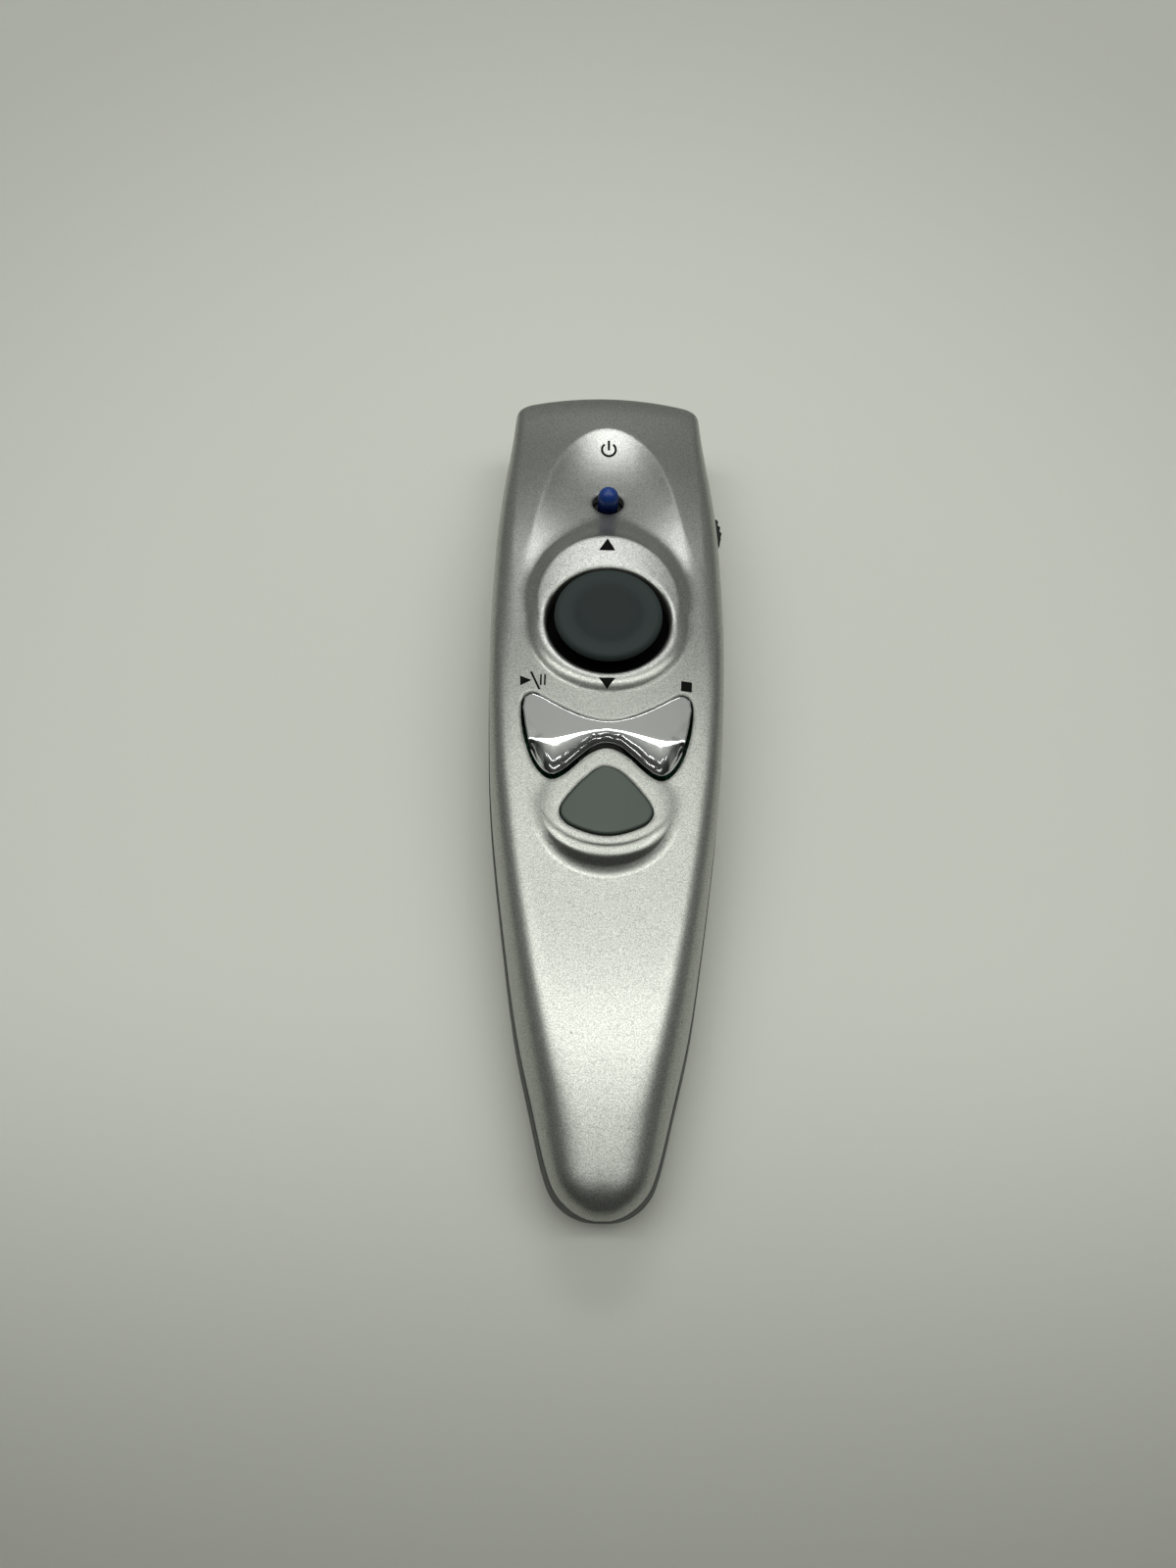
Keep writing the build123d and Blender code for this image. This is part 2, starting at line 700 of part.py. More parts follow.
spring_coils = 4
coil_radius = 0.5
coil_sides = 6
spring_large = 3.0
spring_small = 1.9
contact_side = 8.5
contact_corner = 1.0
coil_start = contact_thickness + coil_radius
with BuildPart() as battery_springs:
    for x, y, turn in ((-cell_x, bay_tail_y, 1), (cell_x, bay_front_y, -1)):
        with BuildSketch(Plane(origin=(x, y, cell_z), x_dir=(turn, 0, 0), z_dir=(0, turn, 0))):
            RectangleRounded(contact_side, contact_side, contact_corner)
        extrude(amount=contact_thickness)
        with BuildSketch(Plane(origin=(x, y, cell_z), x_dir=(turn, 0, 0), z_dir=(0, 0, 1))):
            for i in range(spring_coils):
                share = i / (spring_coils - 1)
                rise = coil_start + share * (spring_room - contact_thickness - 2 * coil_radius)
                with Locations((spring_large + share * (spring_small - spring_large), rise)):
                    RegularPolygon(coil_radius, coil_sides)
        revolve(axis=Axis((x, y, cell_z), (0, 1, 0)))

with BuildPart() as battery_contacts:
    for x, y, turn in ((-cell_x, bay_front_y, -1), (cell_x, bay_tail_y, 1)):
        with BuildSketch(Plane(origin=(x, y, cell_z), x_dir=(turn, 0, 0), z_dir=(0, turn, 0))):
            RectangleRounded(contact_side, contact_side, contact_corner)
        extrude(amount=contact_thickness)
        with BuildSketch(Plane(origin=(x, y, cell_z), x_dir=(turn, 0, 0), z_dir=(0, turn, 0))):
            Circle(nub_radius)
        extrude(amount=contact_room)

# ---------------------------------------------------------------- circuit board
board_pitch = (board_front_y - board_tail_y) / board_spans
board_rows = [board_tail_y + board_pitch * i for i in range(board_spans + 1)]
board_side = [(side_x(y) - wall - board_side_gap, y) for y in board_rows]

with BuildPart() as circuit_board:
    with BuildSketch(Plane.XY.offset(board_z)) as board_plan:
        with BuildLine():
            right = Spline(*board_side)
            left = Spline(*[(-x, y) for x, y in board_side])
            Line(right @ 0, left @ 0)
            Line(right @ 1, left @ 1)
        make_face()
        fillet(board_plan.vertices().group_by(Axis.Y)[-1], door_corner)
        with Locations(*posts):
            Circle(board_screw_radius + hole_gap, mode=Mode.SUBTRACT)
    extrude(amount=board_thickness)

with BuildPart() as board_screws:
    with BuildSketch(Plane.XY.offset(board_top)):
        with Locations(*posts):
            Circle(board_screw_head)
    extrude(amount=board_screw_head_height)
    with BuildSketch(Plane.XY.offset(board_top)):
        with Locations(*posts):
            Circle(board_screw_radius - thread_bite)
    extrude(amount=-board_screw_length)

with BuildPart() as housing_screws:
    with BuildSketch(Plane.XY.offset(screw_sink - screw_head_height)):
        with Locations(*housing_bosses):
            Circle(screw_head_radius)
    extrude(amount=screw_head_height)
    with BuildSketch(Plane.XY.offset(screw_sink)):
        with Locations(*housing_bosses):
            Circle(screw_radius - thread_bite)
    extrude(amount=seam_z - screw_sink + screw_reach)


def board_block(x, y, width, length, height, corner):
    """A plain moulded component standing on the board."""
    with BuildPart() as block:
        with BuildSketch(Plane.XY.offset(board_top)):
            with Locations((x, y)):
                RectangleRounded(width, length, corner)
        extrude(amount=height)
    return block.part


controller_chip = board_block(**chip)
rf_shield_can = board_block(**shield_can)
crystal = board_block(**crystal_can)

# ---------------------------------------------------------------- thumb pad and its tilting stick
liner_low = liner_seat - liner_thickness
mouth_z = board_top + nav_base_height + liner_clearance

with BuildPart() as nav_base:
    with BuildSketch(Plane.XY.offset(board_top)):
        with Locations((0, pad_y)):
            RectangleRounded(nav_base_size, nav_base_size, nav_base_corner)
    extrude(amount=nav_base_height)
    with BuildSketch(Plane.XY.offset(board_top + nav_base_height)):
        with Locations((0, pad_y)):
            Circle(nav_bore_radius)
    extrude(amount=-(nav_base_height - nav_base_wall), mode=Mode.SUBTRACT)
    with BuildSketch(Plane.YZ):
        with Locations((pad_y, pivot_z)):
            Circle(gimbal_pin_radius + pin_gap)
    extrude(amount=nav_base_size / 2 - nav_base_wall, both=True, mode=Mode.SUBTRACT)

with BuildPart() as nav_gimbal:
    with BuildSketch(Plane.XY.offset(pivot_z - gimbal_height / 2)):
        with Locations((0, pad_y)):
            Circle(gimbal_outer)
    extrude(amount=gimbal_height)
    with BuildSketch(Plane.YZ):
        with Locations((pad_y, pivot_z)):
            Circle(gimbal_pin_radius)
    extrude(amount=nav_base_size / 2 - nav_base_wall - pin_end_gap, both=True)
    with BuildSketch(Plane.XY.offset(pivot_z - gimbal_height)):
        with Locations((0, pad_y)):
            Circle(gimbal_inner)
    extrude(amount=2 * gimbal_height, mode=Mode.SUBTRACT)
    with BuildSketch(Plane.XZ.offset(-pad_y)):
        with Locations((0, pivot_z)):
            Circle(gimbal_pin_radius + pin_gap)
    extrude(amount=2 * gimbal_outer, both=True, mode=Mode.SUBTRACT)

stick_axis = Axis((0, pad_y, 0), (0, 0, 1))
stick_top = pad_top - pad_dish_depth - stick_sink
with BuildPart() as nav_stick:
    with BuildSketch(Plane.XZ.offset(-pad_y)):
        with BuildLine():
            Polyline((0, pivot_z), (stick_hub_radius, pivot_z))
            RadiusArc((stick_hub_radius, pivot_z), (0, pivot_z - stick_hub_radius), stick_hub_radius)
            Line((0, pivot_z - stick_hub_radius), (0, pivot_z))
        make_face()
        with BuildLine():
            Polyline((0, pivot_z), (stick_hub_radius, pivot_z), (stick_radius, pivot_z + stick_neck),
                     (stick_radius, stick_top), (0, stick_top), close=True)
        make_face()
    revolve(axis=stick_axis)
    with BuildSketch(Plane.XZ.offset(-pad_y)):
        with Locations((0, pivot_z)):
            Circle(gimbal_pin_radius)
    extrude(amount=gimbal_outer - 2 * pin_end_gap, both=True)

pad_low = pad_top - pad_height
dish_edge = pad_dish_radius + dish_round
with BuildPart() as nav_pad:
    with BuildSketch(Plane.XZ.offset(-pad_y)):
        with BuildLine():
            Polyline((0, pad_top - pad_dish_depth), (0, pad_low), (pad_radius - pad_taper, pad_low),
                     (pad_radius, pad_top - pad_round))
            RadiusArc((pad_radius, pad_top - pad_round), (pad_radius - pad_round, pad_top), -pad_round)
            Line((pad_radius - pad_round, pad_top), (dish_edge, pad_top))
            Spline((dish_edge, pad_top), (pad_dish_radius, pad_top - dish_lip),
                   (0, pad_top - pad_dish_depth), tangents=((-1, 0), (-1, 0)))
        make_face()
    revolve(axis=stick_axis)
    with BuildSketch(Plane.XY.offset(stick_top)):
        with Locations((0, pad_y)):
            Circle(stick_radius)
    extrude(amount=-body_width, mode=Mode.SUBTRACT)

# Black funnel that closes the well round the stick and hangs from the skirt under the collar
with BuildPart() as nav_well_liner:
    with BuildSketch(Plane.XZ.offset(-pad_y)):
        with BuildLine():
            Polyline((liner_mouth, mouth_z + liner_thickness), (well_radius, liner_seat),
                     (well_radius + liner_skirt, liner_seat), (well_radius + liner_skirt, liner_low),
                     (well_radius, liner_low), (liner_mouth, mouth_z), close=True)
        make_face()
    revolve(axis=stick_axis)

# ---------------------------------------------------------------- rocker key
rocker_low = saddle_z - rocker_skirt
plate_low = rocker_profile[2][1] - rocker_plate - rocker_dip
side_switch_top = board_top + side_switch_height
side_plunger_top = side_switch_top + side_plunger_out
rocker_drop = rocker_switch_x * sin(radians(rocker_tilt))
profile_ends = [(rocker_profile[-1][0], rocker_low), (rocker_profile[0][0], rocker_low)]

# The space below the key's rolled top, as a prism across the body
with BuildPart() as rocker_top:
    with BuildSketch(Plane.YZ):
        with BuildLine():
            roll = Spline(*rocker_profile)
            Polyline(roll @ 1, *profile_ends, roll @ 0)
        make_face()
    extrude(amount=half_width, both=True)
    hollow_radius = rocker_facet[0][0] ** 2 / (2 * rocker_dip)
    with BuildSketch(Plane.XZ.offset(half_length)):
        with Locations((0, rocker_profile[2][1] - rocker_dip + hollow_radius)):
            Circle(hollow_radius)
    extrude(amount=-body_length, mode=Mode.SUBTRACT)

facet_start = Vector(*rocker_facet[0], 0)
facet_run = Vector(*rocker_facet[1], 0) - facet_start

with BuildPart() as rocker_key:
    with Locations((0, rocker_shift)):
        add(outline_sketch(rocker_outline, rocker_low, rocker_gap))
    extrude(amount=tall)
    add(rocker_top.part, mode=Mode.INTERSECT)
    # a moulding pocket under each wing
    with BuildSketch(Plane.XY.offset(rocker_low)):
        with Locations((-rocker_pocket_x, rocker_pin_y), (rocker_pocket_x, rocker_pin_y)):
            Ellipse(*rocker_pocket)
    extrude(amount=plate_low - rocker_low, mode=Mode.SUBTRACT)
    # pivot boss and the two pressing legs
    with BuildSketch(Plane.XY.offset(pin_z)):
        with Locations((0, rocker_pin_y)):
            Rectangle(2 * rocker_boss_radius, rocker_boss_length)
    extrude(amount=plate_low - pin_z)
    with BuildSketch(Plane.XZ.offset(-rocker_pin_y)):
        with Locations((0, pin_z)):
            Circle(rocker_boss_radius)
    extrude(amount=rocker_boss_length / 2, both=True)
    with BuildSketch(Plane.XY.offset(side_plunger_top + rocker_drop + press_gap)):
        with Locations((-rocker_switch_x, rocker_pin_y), (rocker_switch_x, rocker_pin_y)):
            Circle(plunger_radius)
    extrude(amount=plate_low - side_plunger_top - rocker_drop - press_gap)
    with BuildSketch(Plane.XZ.offset(-rocker_pin_y)):
        with Locations((0, pin_z)):
            Circle(rocker_pin_radius + pin_gap)
    extrude(amount=body_width / 2, both=True, mode=Mode.SUBTRACT)
    # outer facets
    for side in (-1, 1):
        start = Vector(side * facet_start.X, facet_start.Y, rocker_profile[2][1])
        run = Vector(side * facet_run.X, facet_run.Y, -facet_fall)
        out = Vector(side * cos(radians(rocker_facet_angle)), 0, -sin(radians(rocker_facet_angle)))
        facet = Plane(origin=start, x_dir=run, z_dir=run.cross(out) * side)
        with BuildSketch(facet):
            Rectangle(4 * half_width, 4 * half_width)
        extrude(amount=half_width, mode=Mode.SUBTRACT)

ear_y = rocker_boss_length / 2 + ear_gap
with BuildPart() as rocker_bracket:
    with BuildSketch(Plane.XY.offset(board_top)):
        with Locations((0, rocker_pin_y)):
            Rectangle(bracket_width, 2 * (ear_y + ear_thickness))
    extrude(amount=bracket_base)
    for y in (rocker_pin_y - ear_y, rocker_pin_y + ear_y + ear_thickness):
        with BuildSketch(Plane.XZ.offset(-y)):
            with BuildLine():
                Polyline((-ear_width / 2, pin_z), (-ear_width / 2, board_top), (ear_width / 2, board_top),
                         (ear_width / 2, pin_z))
                ThreePointArc((ear_width / 2, pin_z), (0, pin_z + ear_over_pin), (-ear_width / 2, pin_z))
            make_face()
        extrude(amount=ear_thickness)
    with BuildSketch(Plane.XZ.offset(-rocker_pin_y)):
        with Locations((0, pin_z)):
            Circle(rocker_pin_radius)
    extrude(amount=body_width / 2, both=True, mode=Mode.SUBTRACT)

with BuildPart() as rocker_pin:
    with BuildSketch(Plane.XZ.offset(-rocker_pin_y)):
        with Locations((0, pin_z)):
            Circle(rocker_pin_radius)
    extrude(amount=ear_y + ear_thickness, both=True)


def push_switch(x, y, size, height, plunger, plunger_out):
    """Tactile switch body; a bore for a moving plunger, or its own plunger standing out."""
    with BuildPart() as switch:
        with BuildSketch(Plane.XY.offset(board_top)):
            with Locations((x, y)):
                RectangleRounded(size, size, switch_corner)
        extrude(amount=height)
        with BuildSketch(Plane.XY.offset(board_top + height)):
            with Locations((x, y)):
                Circle(plunger if plunger_out else plunger + pin_gap)
        if plunger_out:
            extrude(amount=plunger_out)
        else:
            extrude(amount=-height, mode=Mode.SUBTRACT)
    return switch.part


def moving_plunger(x, y, height, plunger, reach_z):
    """Plunger that stands in a switch's bore and reaches up to its key."""
    low_z = board_top + height * plunger_depth
    with BuildPart() as moving:
        with BuildSketch(Plane.XY.offset(low_z)):
            with Locations((x, y)):
                Circle(plunger)
        extrude(amount=reach_z - low_z)
    return moving.part


play_switch = push_switch(-rocker_switch_x, rocker_pin_y, switch_size, side_switch_height, plunger_radius,
                          side_plunger_out)
stop_switch = push_switch(rocker_switch_x, rocker_pin_y, switch_size, side_switch_height, plunger_radius,
                          side_plunger_out)
enter_switch = push_switch(0, enter_y, switch_size, enter_switch_height, plunger_radius, 0)
enter_plunger = moving_plunger(0, enter_y, enter_switch_height, plunger_radius, enter_flange_low)
power_switch = push_switch(0, power_y, power_switch_size, power_switch_height, power_plunger_radius, 0)
power_plunger = moving_plunger(0, power_y, power_switch_height, power_plunger_radius, power_flange_low)

# ---------------------------------------------------------------- enter key
with BuildPart() as enter_button:
    add(outline_sketch(enter_outline, enter_flange_low, enter_gap))
    extrude(amount=tall)
    crown = Plane(origin=(0, 0, saddle_z + enter_proud - saddle_radius), x_dir=(1, 0, 0),
                  z_dir=(0, 1, saddle_slope))
    with BuildSketch(crown):
        Circle(saddle_radius)
    extrude(amount=body_length, both=True, mode=Mode.INTERSECT)
    fillet(enter_button.faces().sort_by(Axis.Z)[-1].edges(), edge_break)
    add(outline_sketch(enter_outline, enter_flange_low, -enter_flange))
    extrude(amount=enter_flange)

# ---------------------------------------------------------------- power button
with BuildPart() as power_button:
    with BuildSketch(Plane.XZ.offset(-power_y)):
        with BuildLine():
            Polyline((0, power_top), (0, power_flange_low), (power_flange_radius, power_flange_low),
                     (power_flange_radius, power_flange_top), (power_radius, power_flange_top),
                     (power_radius, power_top - power_radius))
            RadiusArc((power_radius, power_top - power_radius), (0, power_top), -power_radius)
        make_face()
    revolve(axis=Axis((0, power_y, 0), (0, 0, 1)))

# ---------------------------------------------------------------- mode slider
flange_front_y = slider_y + slider_length / 2 + slider_travel + slider_flange
flange_x = side_x(flange_front_y) - side_draft / 2 - wall - slider_gap
slider_face_x = side_x(slider_y) + slider_rib_root
rib_pitch = slider_length / len(slider_ribs)
rib_radius = side_x(slider_y) + slider_proud - slider_face_x

with BuildPart() as mode_slider:
    with BuildSketch(Plane.XY.offset(slider_z)):
        with Locations(((flange_x + slider_face_x) / 2, slider_y)):
            Rectangle(slider_face_x - flange_x, slider_length)
        for i, share in enumerate(slider_ribs):
            with Locations((slider_face_x, slider_y - (slider_length - rib_pitch) / 2 + i * rib_pitch)):
                Ellipse(share * rib_radius, rib_pitch / 2 + slider_rib_lap)
    extrude(amount=slider_height / 2, both=True)
    with BuildSketch(Plane.XY.offset(slider_z)):
        with Locations((flange_x - slider_flange / 2, slider_y)):
            Rectangle(slider_flange, slider_length + 2 * slider_flange)
    extrude(amount=slider_height / 2 + slider_lip, both=True)
    with BuildSketch(Plane.XY.offset(slider_z)):
        with Locations((flange_x - slider_flange - slider_nub, slider_y)):
            Rectangle(2 * slider_nub, slider_nub)
    extrude(amount=slider_nub / 2, both=True)

switch_face_x = flange_x - slider_flange - slider_gap
mode_switch_low = slider_z - mode_switch_drop
with BuildPart() as mode_switch:
    with BuildSketch(Plane.XY.offset(mode_switch_low)):
        with Locations((switch_face_x - mode_switch_depth / 2, slot_middle_y)):
            Rectangle(mode_switch_depth, mode_switch_length)
    extrude(amount=board_z - mode_switch_low)
    with BuildSketch(Plane.YZ.offset(switch_face_x)):
        with Locations((slot_middle_y, slider_z)):
            Rectangle(slider_nub + slider_travel + 2 * pin_gap, slider_nub + 2 * pin_gap)
    extrude(amount=-mode_switch_depth + mode_switch_back, mode=Mode.SUBTRACT)

# ---------------------------------------------------------------- laser pointer
laser_axis = Axis((0, 0, laser_z), (0, 1, 0))
lens_y = laser_front_y - lens_edge
bezel_shoulder = laser_bezel_radius + laser_bezel_rim
bezel_rim_y = half_length - wall - bezel_gap
bezel_front_y = half_length - bezel_gap


def turned(points):
    """Turned part on the laser's axis, from its half profile (radius, y)."""
    with BuildPart() as shape:
        with BuildSketch(Plane.XY.offset(laser_z)):
            with BuildLine():
                Polyline(*points, close=True)
            make_face()
        revolve(axis=laser_axis)
    return shape.part


laser_barrel = turned((
    (laser_aperture, laser_front_y), (laser_radius, laser_front_y), (laser_radius, laser_tail_y),
    (laser_lens_radius, laser_tail_y), (laser_lens_radius, lens_y), (laser_aperture, lens_y),
))
laser_diode = turned((
    (0, laser_tail_y + diode_length), (laser_lens_radius, laser_tail_y + diode_length),
    (laser_lens_radius, laser_tail_y), (diode_flange_radius, laser_tail_y),
    (diode_flange_radius, laser_tail_y - diode_flange), (0, laser_tail_y - diode_flange),
))
laser_lens = turned((
    (0, lens_y), (laser_lens_radius, lens_y), (laser_lens_radius, lens_y - lens_edge),
    (lens_face_radius, lens_y - (lens_edge + lens_bulge) / 2), (0, lens_y - lens_bulge),
))
laser_bezel = turned((
    (laser_aperture, laser_front_y), (bezel_shoulder, laser_front_y), (bezel_shoulder, bezel_rim_y),
    (laser_bezel_radius, bezel_rim_y), (laser_bezel_radius, bezel_front_y),
    (laser_aperture + bezel_cone[0], bezel_front_y), (laser_aperture, bezel_front_y - bezel_cone[1]),
))

# ---------------------------------------------------------------- export
nodes = {
    "top_shell": top_shell.part,
    "bottom_shell": bottom_shell.part,
    "battery_door": battery_door.part,
    "battery_left": battery_left,
    "battery_right": battery_right,
    "battery_springs": battery_springs.part,
    "battery_contacts": battery_contacts.part,
    "circuit_board": circuit_board.part,
    "board_screws": board_screws.part,
    "housing_screws": housing_screws.part,
    "controller_chip": controller_chip,
    "rf_shield_can": rf_shield_can,
    "crystal": crystal,
    "nav_base": nav_base.part,
    "nav_gimbal": nav_gimbal.part,
    "nav_stick": nav_stick.part,
    "nav_pad": nav_pad.part,
    "nav_well_liner": nav_well_liner.part,
    "rocker_key": rocker_key.part,
    "rocker_bracket": rocker_bracket.part,
    "rocker_pin": rocker_pin.part,
    "play_switch": play_switch,
    "stop_switch": stop_switch,
    "enter_button": enter_button.part,
    "enter_plunger": enter_plunger,
    "enter_switch": enter_switch,
    "power_button": power_button.part,
    "power_plunger": power_plunger,
    "power_switch": power_switch,
    "mode_slider": mode_slider.part,
    "mode_switch": mode_switch.part,
    "laser_barrel": laser_barrel,
    "laser_diode": laser_diode,
    "laser_lens": laser_lens,
    "laser_bezel": laser_bezel,
}

os.makedirs("parts", exist_ok=True)
for name, part in nodes.items():
    part.label = name
    export_step(part, f"parts/{name}.step")
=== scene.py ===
from math import cos, pi, radians, sin, sqrt

import bmesh
import bpy
from bpy.props import FloatProperty, FloatVectorProperty, PointerProperty
from mathutils import Matrix, Vector
from mathutils.bvhtree import BVHTree
from mathutils.kdtree import KDTree


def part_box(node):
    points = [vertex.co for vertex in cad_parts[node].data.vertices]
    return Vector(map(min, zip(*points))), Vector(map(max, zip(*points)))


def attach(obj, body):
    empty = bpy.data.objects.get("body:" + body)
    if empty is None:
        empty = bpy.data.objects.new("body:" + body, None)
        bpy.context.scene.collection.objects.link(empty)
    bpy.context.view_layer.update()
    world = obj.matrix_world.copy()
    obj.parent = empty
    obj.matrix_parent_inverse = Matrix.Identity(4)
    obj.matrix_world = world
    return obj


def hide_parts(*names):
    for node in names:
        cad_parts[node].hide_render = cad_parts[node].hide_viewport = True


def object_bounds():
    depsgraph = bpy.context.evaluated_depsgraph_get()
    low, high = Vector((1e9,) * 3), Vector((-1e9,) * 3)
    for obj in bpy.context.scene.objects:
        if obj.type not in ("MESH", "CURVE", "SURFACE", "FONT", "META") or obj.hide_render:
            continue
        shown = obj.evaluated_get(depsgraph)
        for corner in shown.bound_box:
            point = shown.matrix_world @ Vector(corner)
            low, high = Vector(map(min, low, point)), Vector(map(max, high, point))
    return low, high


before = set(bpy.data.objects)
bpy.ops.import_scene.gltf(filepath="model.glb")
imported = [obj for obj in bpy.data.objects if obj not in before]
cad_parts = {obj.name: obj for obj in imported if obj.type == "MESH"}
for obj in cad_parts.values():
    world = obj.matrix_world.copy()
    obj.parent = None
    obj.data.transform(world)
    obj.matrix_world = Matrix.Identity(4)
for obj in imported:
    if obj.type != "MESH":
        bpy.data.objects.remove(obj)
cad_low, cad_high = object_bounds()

bl_info = {
    "name": "Presentation Clicker Finish",
    "version": (1, 0, 0),
    "blender": (4, 5, 0),
    "location": "3D View > Sidebar > Clicker",
    "description": "Dresses a presentation clicker with its finishes, printed signs and plated key",
    "category": "Object",
}

MM = 0.001

# ---------------------------------------------------------------- values of the finishes
WEAR_SIZE = 7 * MM            # size of the patches that handling has polished
WEAR_DEPTH = 0.15             # how much a patch changes the roughness, as a share of it
DIRT = "#2B2B28"

# Silver paint
PAINT_DARK = "#949592"        # the binder between flakes
PAINT_LIGHT = "#BBBCB8"       # a flake that lies flat
FLAKE_SIZE = 0.20 * MM        # coarser than the real 0.05 mm, so that it shows
FLAKE_EDGE = (0.35, 0.65)     # levels of the noise at which it is all dark and all light
PAINT_GRAIN = (0.30 * MM, 0.012 * MM)     # width and depth; the real 0.12 mm wouldn't show either
SPECK_SPACING = 6.5 * MM      # a few specks to the square centimetre, each 0.3 mm wide
SPECK_EDGE = (0.018, 0.032)   # half width of a speck's core and rim, in shares of the spacing
SPECK_COVER = 0.6             # how much of the paint a speck hides
EDGE_SAMPLES = 4              # rays that find each soft edge
EXTRA_SOFTNESS = 2.0 * MM     # added to the edge softness in the soft rings

# Rings for soft_ring: middle along Y, half sizes, rise, fall and gate
LAND = (22.0 * MM, (12 * MM, 14 * MM))
SADDLE = (-14.6 * MM, (11 * MM, 11 * MM))
WHOLE = (-2.0, -1.0)          # a rise or a gate that lets everything through
SOFT_RINGS = (
    (*LAND, (1.08, 1.3), (1.45, 1.65), (-0.8, -0.3)),         # the dome's foot
    (*SADDLE, (0.92, 1.0), (1.22, 1.32), (0.38, 0.22)),       # the crescent's foot
)
LAND_RING = (*LAND, WHOLE, (0.95, 1.15), (-0.8, -0.3))
LAND_SWELL = 6.5              # half of the swell's curvature, 1/m
LEAN_RING = (22.0 * MM, (13 * MM, 14.5 * MM), WHOLE, (1.02, 1.2), (-2.0, -1.9))
LAND_LEAN = -0.085            # slope along Y
SADDLE_RING = (*SADDLE, WHOLE, (0.72, 1.05), WHOLE)
SADDLE_LEAN = 0.07            # slope along Y
CRESCENT_RING = (*SADDLE, WHOLE, (0.81, 1.12), (-9.0, -8.0))
CRESCENT_GATE = (*SADDLE, WHOLE, (1.3, 1.5), (-0.08, -0.60))
CRESCENT_FALL = 0.7 * MM      # further fall of the step

# Chrome plate
CHROME = "#E2E3E3"
CHROME_ROUGHNESS = 0.07
CHROME_WAVE = (2.2 * MM, 0.016 * MM)      # width and depth of its waviness
PIT_SPACING = 2.6 * MM
PIT_EDGE = (0.03, 0.05)       # half width of a pit's core and rim, in shares of the spacing
PIT_COVER = 0.8
# painted shade: black on the key's upright skirt, for the shadow in the gap round the key
CHROME_SKIRT_SHADE = "#040404"
CHROME_SKIRT_TILT = (0.1, 0.2)      # Z of the normal from which it is chrome; below it the upright skirt takes painted shade

# Smaller pieces
PAD_DISH_SHADE = (4.5 * MM, 7.5 * MM)       # distances from the pad's middle between which the painted shade of its dish fades
PAD_SKIRT_SHADE = (2.2 * MM, 1.6 * MM)      # depths below the pad's top between which the painted shade of its black skirt starts
BUTTON_FOOT_SHADE = 0.35            # share of the power button's height that the painted shade of its black foot takes
TRACK_SPACING = 2.5 * MM
TRACK_EDGE = (0.04, 0.06)     # half width of a track, in shares of the spacing
CELL_BAND = 0.7               # share of a cell's length before its copper band


# ---------------------------------------------------------------- colours and nodes
def linear(code):
    """An sRGB hex colour as linear RGBA."""
    parts = [int(code[i:i + 2], 16) / 255 for i in (1, 3, 5)]
    return (*[c / 12.92 if c <= 0.04045 else ((c + 0.055) / 1.055) ** 2.4 for c in parts], 1.0)


def add(tree, kind, settings=(), links=()):
    """Adds a node, sets its properties and inputs, and links its inputs from other nodes' outputs."""
    made = tree.nodes.new(kind)
    for name, value in dict(settings).items():
        if isinstance(name, int) or name in made.inputs:
            made.inputs[name].default_value = value
        else:
            setattr(made, name, value)
    for name, (source, output) in dict(links).items():
        tree.links.new(source.outputs[output], made.inputs[name])
    return made


def new_material(name, shader):
    """A material with one Principled shader; returns it with its tree, shader and coordinates."""
    material = bpy.data.materials.new(name)
    material.use_nodes = True
    tree = material.node_tree
    tree.nodes.clear()
    surface = add(tree, "ShaderNodeBsdfPrincipled", shader)
    add(tree, "ShaderNodeOutputMaterial", links={"Surface": (surface, "BSDF")})
    place = add(tree, "ShaderNodeTexCoord")
    return material, tree, surface, place


def colour_ramp(tree, source, steps, kind="LINEAR"):
    """A ramp over another node's output, with a hex code or a grey level at each place of steps."""
    made = add(tree, "ShaderNodeValToRGB", links={"Fac": source})
    made.color_ramp.interpolation = kind
    while len(made.color_ramp.elements) < len(steps):
        made.color_ramp.elements.new(1.0)
    for element, (position, colour) in zip(made.color_ramp.elements, steps):
        element.position = position
        element.color = linear(colour) if isinstance(colour, str) else (colour, colour, colour, 1.0)
    return made


def fade(tree, source, low, high, start=0.0, end=1.0, smooth=False):
    """Maps another node's output from low..high on start..end, and holds it there past both."""
    settings = {"From Min": low, "From Max": high, "To Min": start, "To Max": end}
    if smooth:
        settings["interpolation_type"] = "SMOOTHSTEP"
    return add(tree, "ShaderNodeMapRange", settings, {"Value": source})


def calculate(tree, operation, *values):
    """A sum on numbers and on other nodes' outputs."""
    numbers = {i: value for i, value in enumerate(values) if not isinstance(value, tuple)}
    outputs = {i: value for i, value in enumerate(values) if isinstance(value, tuple)}
    return add(tree, "ShaderNodeMath", {"operation": operation, **numbers}, outputs)


def mix(tree, share, one, two):
    """The colour that lies at share between one and two: hex codes, RGBA values or nodes' outputs."""
    settings, links = {"data_type": "RGBA"}, {0: share}
    for i, colour in ((6, one), (7, two)):
        if isinstance(colour[0], bpy.types.Node):
            links[i] = colour
        else:
            settings[i] = linear(colour) if isinstance(colour, str) else colour
    return add(tree, "ShaderNodeMix", settings, links)


def split(tree, source):
    """The three parts of a place or a direction."""
    return add(tree, "ShaderNodeSeparateXYZ", links={"Vector": source})


def length_of(tree, source):
    return add(tree, "ShaderNodeVectorMath", {"operation": "LENGTH"}, {0: source})


def dots(tree, place, spacing, edge, cover):
    """1 share of cover on small round dots, a spacing apart, whose core and rim are shares of spacing."""
    cells = add(tree, "ShaderNodeTexVoronoi", {"Scale": 1 / spacing}, {"Vector": (place, "Object")})
    return fade(tree, (cells, "Distance"), *edge, cover, 0.0)


